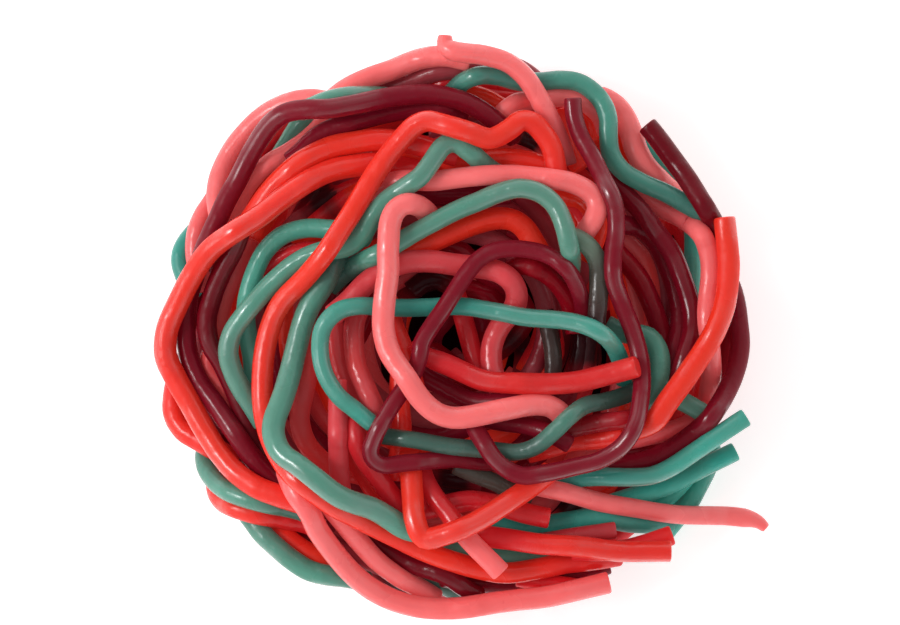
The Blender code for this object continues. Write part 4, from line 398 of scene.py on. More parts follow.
        (40, -15.8, 3.4), (36, -18.9, 3.4), (32, -20.4, 3.4), (28, -21, 3))),
}

# kind of lace in the list: the kind it is a shade of, and which shade of it
tones = {
    "red": ("red", 0.0), "cherry": ("red", 0.5), "ruby": ("red", 1.0), "rose": ("red", 2.0),
    "pink": ("pink", 0.0), "coral": ("pink", 1.0),
    "sage": ("green", 0.0), "green": ("green", 1.0), "fern": ("green", 1.15),
    "jade": ("green", 1.5), "teal": ("green", 2.0),
    "maroon": ("maroon", 0.0), "mauve": ("maroon", 1.0), "wine": ("maroon", 2.0),
}

bed = {
    "radius": 48.0,  # of the dome of buried laces, in millimetres
    "height": 19.0,
    "shoulder": 2.5,
    "roundness": 0.6,
    "hollowDepth": 3.0,  # the middle of the heap sinks in
    "hollowRadius": 11.0,
}

lay = {
    "routeStep": 1.5,  # millimetres between the points that settle
    "leastPoints": 3,
    "splineSteps": 12,
    "press": 0.93,  # soft laces flatten a little where they cross
    "clearance": 0.1,  # between the lowest laces and the table
    "ownGap": 8,  # points of one lace that are closer together than this don't count as touching
    "runGap": 3,  # touching points up to this far apart belong to one crossing
    "runJump": 9,
    "layerRise": 1.5,
    "lowestLayer": 3,
    "stackLimit": 17.0,
    "rounds": 500,
    "calmRounds": 400,  # after these the laces fall and bend more slowly
    "fall": 0.12,
    "calmFall": 0.02,
    "upperShare": 0.6,
    "bendRounds": 4,
    "calmBendRounds": 2,
    "bendShare": 0.5,
    "contactRounds": 3,
}


def lengthAlong(points):
    return np.append(0.0, np.cumsum(np.linalg.norm(np.diff(points, axis=0), axis=1)))


def pickAt(stops, along, points):
    return np.stack([np.interp(stops, along, points[:, k]) for k in range(3)], axis=1)


def withGuides(points):
    # one more point before the first and after the last, for a spline
    return np.vstack((2 * points[0] - points[1], points, 2 * points[-1] - points[-2]))


def smoothRoute(points, step):
    # points at even steps along a centripetal spline through the given ones
    p = withGuides(np.array(points, float))
    dense = []
    for a, b, c, d in zip(p, p[1:], p[2:], p[3:]):
        t1 = np.linalg.norm((b - a)[:2]) ** 0.5
        t2 = t1 + np.linalg.norm((c - b)[:2]) ** 0.5
        t3 = t2 + np.linalg.norm((d - c)[:2]) ** 0.5
        for t in np.linspace(t1, t2, lay["splineSteps"], endpoint=False):
            a1 = a + (b - a) * t / t1
            a2 = b + (c - b) * (t - t1) / (t2 - t1)
            a3 = c + (d - c) * (t - t2) / (t3 - t2)
            b1 = a1 + (a2 - a1) * t / t2
            b2 = a2 + (a3 - a2) * (t - t1) / (t3 - t1)
            dense.append(b1 + (b2 - b1) * (t - t1) / (t2 - t1))
    dense.append(p[-2])
    dense = np.array(dense)
    along = lengthAlong(dense[:, :2])
    count = max(lay["leastPoints"], round(along[-1] / step) + 1)
    return pickAt(np.linspace(0.0, along[-1], count), along, dense)


def bedHeight(x, y):
    reach = np.hypot(x, y)
    dome = (1 - np.clip(reach / bed["radius"], 0, 1) ** bed["shoulder"]) ** bed["roundness"]
    return bed["height"] * dome - bed["hollowDepth"] * np.exp(-((reach / bed["hollowRadius"]) ** 2))


def findContacts(x, y, layer, radius, lace, place):
    # pairs of points whose laces cross or touch, seen from above, and the rise each needs
    touching = []
    for i in range(len(x)):
        apart = (x[i + 1:] - x[i]) ** 2 + (y[i + 1:] - y[i]) ** 2
        reach = (radius[i] + radius[i + 1:]) * lay["press"]
        for k in np.nonzero(apart < reach ** 2)[0]:
            j = i + 1 + k
            if lace[j] != lace[i] or place[j] - place[i] >= lay["ownGap"]:
                touching.append((lace[i], lace[j], i, j, np.sqrt(reach[k] ** 2 - apart[k])))
    touching.sort()
    crossings = [[touching[0]]]
    for row in touching[1:]:
        before = crossings[-1][-1]
        same = row[:2] == before[:2] and row[2] - before[2] <= lay["runGap"]
        if same and abs(row[3] - before[3]) <= lay["runJump"]:
            crossings[-1].append(row)
        else:
            crossings.append([row])
    upper, lower, rise = [], [], []
    for crossing in crossings:
        lead = sum((layer[i] - layer[j]) * need for _, _, i, j, need in crossing)
        for _, _, i, j, need in crossing:
            upper.append(i if lead > 0 else j)
            lower.append(j if lead > 0 else i)
            rise.append(need)
    return np.array(upper), np.array(lower), np.array(rise)


def settle(routes, widths, sink=0.0):
    # heights for every lace, so that each rests on the bed and on what it crosses;
    # buried laces rest on a bed that lies lower by sink, and stay under the top of it
    sizes = [len(route) for route in routes]
    radius = np.repeat([width / 2 for width in widths], sizes)
    lace = np.repeat(np.arange(len(routes)), sizes)
    place = np.concatenate([np.arange(size) for size in sizes])
    x, y, layer = np.concatenate(routes).T
    upper, lower, rise = findContacts(x, y, layer, radius, lace, place)
    starts = np.nonzero(place == 0)[0]
    ends = np.append(starts[1:], len(x)) - 1
    inner = np.setdiff1d(np.arange(len(x)), np.concatenate((starts, ends)))
    lowest = bedHeight(x, y) + radius
    highest = lowest + lay["stackLimit"]
    if sink:
        onTable = radius + lay["clearance"]
        highest = np.maximum(lowest - 2 * radius, onTable)
        lowest = np.maximum(lowest - sink, onTable)
        highest = np.maximum(highest, lowest)
    z = lowest + np.maximum(layer - lay["lowestLayer"], 0) * lay["layerRise"]
    for turn in range(lay["rounds"]):
        calm = turn > lay["calmRounds"]
        z = z - (lay["calmFall"] if calm else lay["fall"])
        for _ in range(lay["calmBendRounds"] if calm else lay["bendRounds"]):
            straight = z.copy()
            straight[inner] = (z[inner - 1] + z[inner + 1]) / 2
            straight[starts] = 2 * z[starts + 1] - z[starts + 2]
            straight[ends] = 2 * z[ends - 1] - z[ends - 2]
            z = z + (straight - z) * lay["bendShare"]
        for _ in range(lay["contactRounds"]):
            lack = np.maximum(rise - (z[upper] - z[lower]), 0)
            push = np.bincount(upper, lack * lay["upperShare"], len(z))
            push = push - np.bincount(lower, lack * (1 - lay["upperShare"]), len(z))
            share = np.bincount(upper, lack > 0, len(z)) + np.bincount(lower, lack > 0, len(z))
            z = np.clip(z + push / np.maximum(share, 1), lowest, highest)
    return np.split(np.stack((x, y, z), axis=1), starts[1:])


def newStrand(kind, width, path, tone=0.0, shown=False, **changes):
    # one lace, with how it differs from the plain ones of its kind
    plain = {"narrowed": None, "shaded": None, "depthChange": 0.0, "shineChange": 1.0}
    return {"kind": kind, "width": width, "path": path, "tone": tone, "shown": shown, **plain, **changes}


# Laces that show, from the list above

# ends that stick out of the tangle and stay nearly level
looseEnds = {
    "pinkTopEnd": "first", "maroonHook": "first", "maroonCutEnd": "first", "redRight": "first",
    "greenCentreRing": "first", "redBar": "last", "greenEndUpper": "last", "greenEndLower": "last",
    "pinkTail": "last", "pinkStub": "last", "pinkCut": "last", "pinkSkirt": "last",
    "redShort": "last", "redLowEnd": "last", "redLowTwin": "last", "maroonHemB": "last",
}
loose = {"reach": 7.0, "slope": 0.06}

# laces whose painted shade is lighter or darker than their place in the tangle would give:
# added to how deep they seem, where 0 is on top and 1 is deep
depthChange = {
    "redTopLow": -1.2, "redBar": 0.45, "redHook": -1.9, "redStrandA": 0.85, "redStrandB": -0.9,
    "redRimSpot": -1.2, "redArchDeep": -1.2, "redHem": -0.75, "redSkirtBit": 0.3, "redInnerTwin": -0.7,
    "redCutTop": -0.2, "redSlantInner": -0.9, "redNook": -1.8, "redNookRight": -1.15, "redLowEnd": 0.5,
    "redLowTwin": 0.5, "redInnerLeft": -0.6, "redLeftDeep": -1.9, "redInnerDrop": -0.2, "redShort": 0.1,
    "redRight": 0.1, "pinkTopInner": -1.6, "pinkNub": -0.4, "pinkStub": 1, "pinkSkirtTwin": -0.1,
    "pinkSlant": -0.55, "pinkCrown": -0.2, "pinkDusty": -0.3, "pinkRight": 0.15, "pinkInner": 0.1,
    "greenRimStrip": -0.8, "greenEndLower": -0.5, "greenRing": -0.9, "greenRingMid": -1.2,
    "greenRingInner": -0.8, "greenPatch": -0.6, "greenTopDeep": -1.9, "greenLowRight": 0.1,
    "greenEndUpper": 0.35, "greenUnderLoop": 0.6, "greenTopWave": 0.3, "greenTwin": -0.4,
    "greenCentreRing": 0.35, "greenCentreDeep": 1.1, "greenLowDark": -1.6, "greenLowDeep": 0.5,
    "maroonRightDeep": -1.8, "maroonTopTwin": -1.1, "maroonLeft": 0.55, "maroonCrown": -0.3,
    "maroonRightRim": 0.1, "maroonCutEnd": 1, "maroonStrandA": 0.35, "maroonHemA": 0.4,
    "maroonRimInner": -1.9, "maroonInner": -0.6, "maroonBelow": -0.7, "maroonCentreTwin": -0.45,
    "pinkDeep": -1, "roseDropD": -0.6, "roseDropC": -0.25, "tealLeftEdge": 0.2,
}

# laces that shine less or more than how they lie would give
shineChange = {
    "maroonCutEnd": 0.15, "maroonRightRim": 0.5, "maroonTop": 0.75, "greenArchTail": 0.3,
    "redBar": 2.0, "redHook": 2.0, "redLowEnd": 1.6, "redVee": 1.4, "greenTwin": 1.6,
    "greenCentreRing": 1.5, "maroonLeft": 1.5, "maroonHook": 1.2, "greenEndUpper": 1.3,
}

# ends that were pinched narrower: share of the thickness left, over how many millimetres
narrowed = {
    "pinkTopEnd": ("first", 0.66, 2.6), "pinkTail": ("last", 0.5, 4.0), "redBar": ("first", 0.6, 5.0),
    "greenArch": ("last", 0.7, 4.0), "redRight": ("last", 0.6, 5.0),
}

# ends that go down into the shade: how deep, 0 to 2, over how many millimetres
shaded = {
    "greenArchTail": ("last", 2.0, 20.0), "greenWide": ("first", 1.4, 14.0),
    "greenUnderLoop": ("last", 0.6, 12.0), "greenRight": ("last", 0.7, 14.0),
    "greenTopWave": ("last", 1.0, 30.0), "greenEndUpper": ("first", 1.3, 32.0),
    "greenCentreDeep": ("last", 1.8, 14.0), "maroonHemA": ("last", 0.8, 22.0),
    "redHook": ("first", 0.8, 6.0), "redBar": ("first", 0.95, 38.0),
    "redLowEnd": ("first", 0.95, 30.0), "redLong": ("last", 0.8, 16.0),
    "redBow": ("last", 0.7, 10.0), "pinkTopEnd": ("last", 1.5, 13.0),
}

# places where hardly any light comes in: x, y and reach in millimetres
darkPlaces = (
    (-21.5, 21.5, 4.5), (-4.0, 6.5, 6.0), (13.0, 31.0, 3.0), (19.0, -29.0, 4.0), (0.5, -26.0, 4.0),
    (22.0, -3.0, 6.0), (11.0, -3.0, 4.0), (-20.0, 9.0, 3.0), (-9.0, -41.0, 4.0), (38.0, 1.0, 4.0),
)


def levelEnd(path, end):
    path = path if end == "last" else path[::-1]
    left = lengthAlong(path[::-1, :2])[::-1]
    base = int(np.argmin(abs(left - loose["reach"])))
    level = path[base, 2] - loose["slope"] * (left[base] - left)
    path[base:, 2] = np.maximum(path[base:, 2], level[base:])
    return path if end == "last" else path[::-1]


def layShownLaces():
    routes = [smoothRoute(points, lay["routeStep"]) for _, _, points in laces.values()]
    widths = [width for _, width, _ in laces.values()]
    strands = []
    for name, width, path in zip(laces, widths, settle(routes, widths)):
        kind, tone = tones[laces[name][0]]
        if name in looseEnds:
            path = levelEnd(path, looseEnds[name])
        changes = (("narrowed", narrowed), ("shaded", shaded),
                   ("depthChange", depthChange), ("shineChange", shineChange))
        mine = {key: given[name] for key, given in changes if name in given}
        strands.append(newStrand(kind, width, path, tone, shown=True, **mine))
    return strands


# Laces that run round the foot of the heap: kind, thickness, radius, height,
# first and last angle in degrees, and how many times the radius waves in a turn

footLaces = (
    ("red", 3.6, 44.0, 1.9, -20, 52, 7),
    ("red", 3.4, 41.4, 1.9, 53, 125, 7),
    ("red", 3.5, 43.9, 1.9, 128, 156, 7),
    ("maroon", 3.4, 44.2, 1.8, 160, 330, 8),
    ("maroon", 3.3, 41.6, 5.0, 60, 122, 8),
    ("maroon", 3.3, 43.9, 5.0, 126, 215, 8),
    ("red", 3.5, 43.8, 5.0, 225, 413, 6),
)

foot = {"wave": 0.6, "angleStep": 1.5, "lowest": 1.85}


def roundPath(reach, angle, height):
    return np.stack((reach * np.cos(angle), reach * np.sin(angle), height), axis=1)


def layFootLaces():
    strands = []
    for kind, width, radius, height, first, last, waves in footLaces:
        turn = np.radians(np.arange(first, last, foot["angleStep"]))
        reach = radius + foot["wave"] * np.sin(waves * turn)
        rise = np.maximum(height + foot["wave"] * np.cos(waves * turn), foot["lowest"])
        strands.append(newStrand(kind, width, roundPath(reach, turn, rise)))
    return strands


buried = {
    "seed": 11,
    "count": 64,  # wandering laces just under the ones that show
    "sink": 7.5,  # how far down they may lie
    "lighter": -1.3,  # less painted shade: change of how deep they seem
    "reach": (4.0, 43.5),
    "leastReach": 2.0,
    "length": (55.0, 120.0),
    "longestTurn": 1.6 * math.pi,
    "drift": 10.0,
    "wobble": (0.4, 2.2),
    "waves": (1, 2, 3),
    "layers": (0, 10),
    "width": (3.2, 3.8),
    "points": 12,
    "kinds": ("maroon", "red", "red", "red"),
    "tones": (0.0, 2.0, 1.0, 1.5),
    "darkSpot": (21.0, 0.0),  # round here they are all of the dark kind
    "darkReach": 21.0,
    "redFrom": 14.0,  # and from this y on they are all red
}


def layBuriedLaces():
    draw = random.Random(buried["seed"])
    low, high = buried["reach"]
    kinds, widths, routes = [], [], []
    for _ in range(buried["count"]):
        radius = max(low, high * math.sqrt(draw.random()))
        span = min(draw.uniform(*buried["length"]) / radius, buried["longestTurn"])
        start = draw.uniform(0, fullTurn)
        drift = draw.uniform(-buried["drift"], buried["drift"])
        wobble = draw.uniform(*buried["wobble"])
        waves = draw.choice(buried["waves"])
        phase = draw.uniform(0, fullTurn)
        layer = draw.uniform(*buried["layers"])
        route = []
        for t in (k / (buried["points"] - 1) for k in range(buried["points"])):
            reach = radius + drift * (t - 0.5) + wobble * math.sin(fullTurn * waves * t + phase)
            reach = min(max(reach, buried["leastReach"]), high)
            angle = start + span * t
            route.append((reach * math.cos(angle), reach * math.sin(angle), layer))
        routes.append(smoothRoute(route, lay["routeStep"]))
        widths.append(draw.uniform(*buried["width"]))
        kind = draw.choice(buried["kinds"])
        middle = routes[-1][len(routes[-1]) // 2][:2]
        kind = "red" if middle[1] > buried["redFrom"] else kind
        kinds.append("maroon" if math.dist(middle, buried["darkSpot"]) < buried["darkReach"] else kind)
    strands = []
    for kind, width, path in zip(kinds, widths, settle(routes, widths, buried["sink"])):
        tone = buried["tones"][len(strands) % len(buried["tones"])]
        strands.append(newStrand(kind, width, path, tone, depthChange=buried["lighter"]))
    return strands


under = {
    "seed": 5,
    "first": 4.0,  # radius of the innermost ring of laces on the table, in millimetres
    "last": 41.0,
    "gap": 4.1,
    "width": 3.5,
    "wobble": 0.25,
    "waves": (3, 4, 5),
    "breaks": 2,
    "breakAngle": 0.12,
    "angleStep": 4.0,
    "leastPoints": 8,
    "kinds": ("maroon", "red", "red", "red", "maroon"),
}


def layUnderLaces():
    draw = random.Random(under["seed"])
    strands = []
    radius = under["first"]
    while radius < under["last"]:
        turn = draw.uniform(0, fullTurn)
        waves = draw.choice(under["waves"])
        for _ in range(under["breaks"]):
            stop = turn + fullTurn / under["breaks"] - under["breakAngle"]
            count = max(under["leastPoints"], int(math.degrees(stop - turn) / under["angleStep"]))
            angles = np.linspace(turn, stop, count)
            reach = radius + under["wobble"] * np.sin(waves * angles)
            height = np.full(count, under["width"] / 2 + lay["clearance"])
            path = roundPath(reach, angles, height)
            strands.append(newStrand(draw.choice(under["kinds"]), under["width"], path))
            turn += fullTurn / under["breaks"]
        radius += under["gap"]
    return strands


# How deep every point lies

cover = {
    "cell": 1.0,  # of the height map, in millimetres
    "cells": 64,  # from the middle of the map to its edge
    "rings": (3.0, 5.5, 8.0),  # how far round a point it looks
    "directions": 16,
    "clip": 2.0,  # a height from which a neighbour covers the point fully
}


def markCover(strands):
    # how much of each point's surroundings rises above it, 0 on top of the heap to 1 deep in it
    half = cover["cells"]
    top = np.zeros((2 * half, 2 * half))

    def cell(line, column):
        return np.clip(line, 0, 2 * half - 1), np.clip(column, 0, 2 * half - 1)

    for strand in strands:
        if strand["shown"]:
            x, y, z = strand["path"].T
            for dx in (-1, 0, 1):
                for dy in (-1, 0, 1):
                    column = (x / cover["cell"] + half + dx).astype(int)
                    line = (y / cover["cell"] + half + dy).astype(int)
                    np.maximum.at(top, cell(line, column), z + strand["width"] / 2)
    for strand in strands:
        x, y, z = strand["path"].T
        above = np.zeros(len(x))
        for reach in cover["rings"]:
            for angle in (fullTurn * k / cover["directions"] for k in range(cover["directions"])):
                column = ((x + reach * math.cos(angle)) / cover["cell"] + half).astype(int)
                line = ((y + reach * math.sin(angle)) / cover["cell"] + half).astype(int)
                height = top[cell(line, column)]
                above += np.clip(height - z - strand["width"] / 2, 0, cover["clip"]) / cover["clip"]
        strand["cover"] = above / (len(cover["rings"]) * cover["directions"])


# From a strand's path to a swept tube

sweep = {
    "shownStep": 0.65,  # millimetres between rings of a lace that shows
    "deepStep": 1.3,
    "leastRings": 4,
    "splineStops": (0.0, 0.25, 0.5, 0.75),
    "sides": 16,
    "rim": ((0.0, 0.88), (0.1, 0.96), (0.3, 1.0)),  # rounded edge of a cut end: depth, share of radius
    "thicknessChange": 0.16,
    "thicknessScale": 55.0,
    "thicknessSeed": 7.0,  # added to the seed of the wobble
    "wobble": 0.00028,
    "wobbleScale": 130.0,
    "seed": 3,
    "dullness": 1.8,  # how fast laces lose their shine down in the heap
    "leastGloss": 0.08,
    "darkAdd": 2.8,  # how much deeper buried laces seem in the dark places
}


def smoothSpace(path):
    # a spline through the settled points, in space
    p = withGuides(path)
    out = []
    for a, b, c, d in zip(p, p[1:], p[2:], p[3:]):
        for t in sweep["splineStops"]:
            out.append(0.5 * (2 * b + (c - a) * t + (2 * a - 5 * b + 4 * c - d) * t * t
                              + (3 * b - a - 3 * c + d) * t ** 3))
    out.append(path[-1])
    return np.array(out)


def finePath(path, step):
    # even steps along the path, with a few extra rings at the cut ends
    smooth = smoothSpace(path)
    along = lengthAlong(smooth)
    total = along[-1]
    depths = [depth for depth, _ in sweep["rim"]]
    rings = max(sweep["leastRings"], round(total / step))
    middle = np.linspace(depths[-1], total - depths[-1], rings)
    stops = np.concatenate((depths[:-1], middle, total - np.array(depths[:-1])[::-1]))
    share = np.ones(len(stops))
    for k, (_, value) in enumerate(sweep["rim"]):
        share[k] = share[-1 - k] = value
    return pickAt(stops, along, smooth), share, stops


def makeSweepTree():
    # sweeps a round section along every chain of edges
    tree = bpy.data.node_groups.new("sweepLaces", "GeometryNodeTree")
    face = tree.interface
    face.new_socket("Geometry", in_out="INPUT", socket_type="NodeSocketGeometry")
    for name, kind, default in (
        ("Ring Sides", "NodeSocketInt", sweep["sides"]),
        ("Thickness Change", "NodeSocketFloat", sweep["thicknessChange"]),
        ("Thickness Scale", "NodeSocketFloat", sweep["thicknessScale"]),
        ("Wobble", "NodeSocketFloat", sweep["wobble"]),
        ("Wobble Scale", "NodeSocketFloat", sweep["wobbleScale"]),
        ("Seed", "NodeSocketFloat", float(sweep["seed"])),
        ("Material", "NodeSocketMaterial", None),
    ):
        socket = face.new_socket(name, in_out="INPUT", socket_type=kind)
        if default is not None:
            socket.default_value = default
    face.new_socket("Geometry", in_out="OUTPUT", socket_type="NodeSocketGeometry")

    nodes = Nodes(tree)

    def geometry(kind, settings=None, **sockets):
        named = {key.replace("_", " "): value for key, value in sockets.items()}
        return nodes.node("GeometryNode" + kind, settings, named).outputs[0]

    def noise(seed, scale, detail):
        return nodes.node("ShaderNodeTexNoise", {"noise_dimensions": "4D"},
                          {"Vector": where, "W": seed, "Scale": scale, "Detail": detail}).outputs

    given = nodes.node("NodeGroupInput").outputs
    where = geometry("InputPosition")
    chains = geometry("MeshToCurve", Mesh=given["Geometry"])
    centred = nodes.node("ShaderNodeVectorMath", {"operation": "SUBTRACT"}, {
        0: noise(given["Seed"], given["Wobble Scale"], 1.0)["Color"], 1: (0.5, 0.5, 0.5)}).outputs[0]
    offset = nodes.node("ShaderNodeVectorMath", {"operation": "SCALE"}, {
        0: centred, "Scale": given["Wobble"]}).outputs[0]
    moved = geometry("SetPosition", Geometry=chains, Offset=offset)
    swellSeed = Maths(nodes, given["Seed"]) + sweep["thicknessSeed"]
    swell = Maths(nodes, noise(swellSeed, given["Thickness Scale"], 2.0)["Fac"])
    radius = Maths(nodes, geometry("InputNamedAttribute", {"data_type": "FLOAT"}, Name="laceRadius"))
    scale = radius * ((swell - 0.5) * given["Thickness Change"] + 1.0)
    ring = geometry("CurvePrimitiveCircle", Resolution=given["Ring Sides"], Radius=1.0)
    marked = geometry("StoreNamedAttribute", {"data_type": "FLOAT_VECTOR", "domain": "POINT"},
                      Geometry=ring, Name="ringPlace", Value=geometry("InputPosition"))
    tubes = geometry("CurveToMesh", Curve=moved, Profile_Curve=marked, Scale=scale, Fill_Caps=True)
    real = geometry("RealizeInstances", Geometry=tubes)
    done = geometry("SetMaterial", Geometry=real, Material=given["Material"])
    nodes.node("NodeGroupOutput", sockets={"Geometry": done})
    return tree


def fromEnd(stops, end, reach):
    # 0 at one end of a lace, rising to 1 over the reach
    away = stops if end == "first" else stops[-1] - stops
    return np.clip(away / reach, 0, 1)


def howDeep(strand, path, stops):
    # how deep each ring of a lace seems, which sets its painted shade
    depth = strand["cover"] + strand["depthChange"]
    if not strand["shown"]:
        for x, y, reach in darkPlaces:
            away = np.hypot(path[:, 0] - x, path[:, 1] - y)
            depth = depth + sweep["darkAdd"] * np.exp(-((away / reach) ** 2))
    if strand["shaded"]:
        end, most, reach = strand["shaded"]
        depth = np.maximum(depth, most * (1 - fromEnd(stops, end, reach)))
    return depth


def sweepLaces(name, strands, material, tree):
    # one mesh for all laces of a kind
    points, edges = [], []
    labels = ("laceRadius", "laceTone", "laceSeed", "laceAlong", "lacePaintedShade", "laceGloss")
    marks = {label: [] for label in labels}
    draw = random.Random(name)
    for strand in strands:
        step = sweep["shownStep"] if strand["shown"] else sweep["deepStep"]
        path, share, stops = finePath(strand["path"], step)
        settled = np.linspace(0.0, stops[-1], len(strand["cover"]))
        strand["cover"] = np.interp(stops, settled, strand["cover"])
        if strand["narrowed"]:
            end, left, reach = strand["narrowed"]
            share = share * (left + (1 - left) * fromEnd(stops, end, reach))
        shiny = np.clip(1 - sweep["dullness"] * strand["cover"], sweep["leastGloss"], 1)
        first = len(points)
        points.extend(map(tuple, path * mm))
        edges.extend((k, k + 1) for k in range(first, first + len(path) - 1))
        marks["laceRadius"].extend(share * strand["width"] / 2 * mm)
        marks["laceTone"].extend([strand["tone"]] * len(path))
        marks["laceSeed"].extend([draw.random()] * len(path))
        marks["laceAlong"].extend(stops * mm)
        marks["lacePaintedShade"].extend(howDeep(strand, path, stops))
        marks["laceGloss"].extend(np.minimum(shiny * strand["shineChange"], 1))
    mesh = bpy.data.meshes.new(name + "Paths")
    mesh.from_pydata(points, edges, [])
    for label, values in marks.items():
        mesh.attributes.new(label, "FLOAT", "POINT").data.foreach_set("value", values)
    source = addObject(name + "Paths", mesh)
    modifier = source.modifiers.new("sweep", "NODES")
    modifier.node_group = tree
    inputs = {item.name: item.identifier for item in tree.interface.items_tree if item.in_out == "INPUT"}
    modifier[inputs["Material"]] = material
    modifier[inputs["Seed"]] = float(sweep["seed"] + len(name))
    graph = bpy.context.evaluated_depsgraph_get()
    swept = bpy.data.meshes.new_from_object(source.evaluated_get(graph))
    source.modifiers.remove(modifier)
    bpy.data.objects.remove(source)
    swept.name = name
    print(name, len(strands), "laces", sum(len(p.vertices) - 2 for p in swept.polygons), "triangles")
    return addObject(name, swept)


# The candy itself

candy = {
    # shades: colour on top of the heap and a darker colour deep in it, painted shade, one pair for each
    # step of tone
    "lacesRed": {
        "kind": "red", "slot": "lace_red",
        "shades": (
            ((0.69, 0.027, 0.012), (0.58, 0.013, 0.019)),
            ((0.5, 0.014, 0.02), (0.46, 0.01, 0.018)),
            ((0.52, 0.06, 0.065), (0.46, 0.035, 0.042)),
        ),
        "patch": (0.7, 0.024, 0.018),
        "rough": 0.46, "smooth": 0.2, "coat": 1.0, "subsurface": 0.4, "ior": 1.4, "specular": 0.4,
    },
    "lacesPink": {
        "kind": "pink", "slot": "lace_pink",
        "shades": (
            ((0.79, 0.14, 0.14), (0.6, 0.075, 0.08)),
            ((0.58, 0.045, 0.055), (0.45, 0.03, 0.037)),
            ((0.58, 0.045, 0.055), (0.45, 0.03, 0.037)),
        ),
        "patch": (0.78, 0.1, 0.1),
        "rough": 0.5, "smooth": 0.24, "coat": 0.8, "subsurface": 0.4, "ior": 1.4, "specular": 0.5,
    },
    "lacesGreen": {
        "kind": "green", "slot": "lace_green",
        "shades": (
            ((0.115, 0.17, 0.125), (0.06, 0.055, 0.045)),
            ((0.075, 0.245, 0.18), (0.045, 0.1, 0.08)),
            ((0.005, 0.41, 0.33), (0.01, 0.32, 0.26)),
        ),
        "patch": (0.09, 0.18, 0.14),
        "rough": 0.42, "smooth": 0.17, "coat": 1.0, "subsurface": 0.25, "ior": 1.4, "specular": 0.45,
    },
    "lacesMaroon": {
        "kind": "maroon", "slot": "lace_maroon",
        "shades": (
            ((0.17, 0.005, 0.014), (0.12, 0.002, 0.007)),
            ((0.28, 0.04, 0.05), (0.16, 0.01, 0.016)),
            ((0.2, 0.002, 0.007), (0.12, 0.001, 0.004)),
        ),
        "patch": (0.15, 0.003, 0.013),
        "rough": 0.42, "smooth": 0.17, "coat": 1.0, "subsurface": 0.2, "ior": 1.3, "specular": 0.33,
    },
}

candyFinish = {
    "paintedGlow": 0.13,  # painted glow for light that comes through the candy from all round, also deep in the heap
    # painted shade: between these depths the colour goes from the top colour to the darker deep colour
    "coverRange": (0.25, 0.95),
    # painted shadow: from a depth of 0.95 to 2, in the dark places and shaded ends, the colour goes to
    # the near-black darkest colour
    "darkRange": (0.95, 2.0),
    "darkest": (0.03, 0.004, 0.006),
    "patchScale": 50.0,  # broad colour changes, a few centimetres long
    "patchRange": (0.42, 0.66),
    "patchShare": 0.5,
    "patchShift": 0.2,  # how much they differ from lace to lace
    "lineScale": 900.0,  # fine lines along the lace from the die
    "lineStretch": 0.06,
    "lineRadius": 0.0017,
    "lineRange": (0.45, 0.75),
    "lineShare": 0.2,
    "lumpScale": 260.0,
    "dentScale": 1000.0,
    "lumpBump": (0.5, 0.0009),  # strength and height
    "dentBump": (0.5, 0.0001),
    "lineBump": (0.6, 0.0001),
    "glossScale": 110.0,  # the shine comes and goes along a lace
    "glossRange": (0.4, 0.55),
    "threadRange": (0.42, 0.58),  # and breaks up into fine threads
    "threadShare": 0.7,
    "coatRoughness": 0.2,
    "coatIor": 1.6,
    "subsurfaceDepth": 0.002,
    "subsurfaceColour": (1.0, 0.4, 0.3),
}


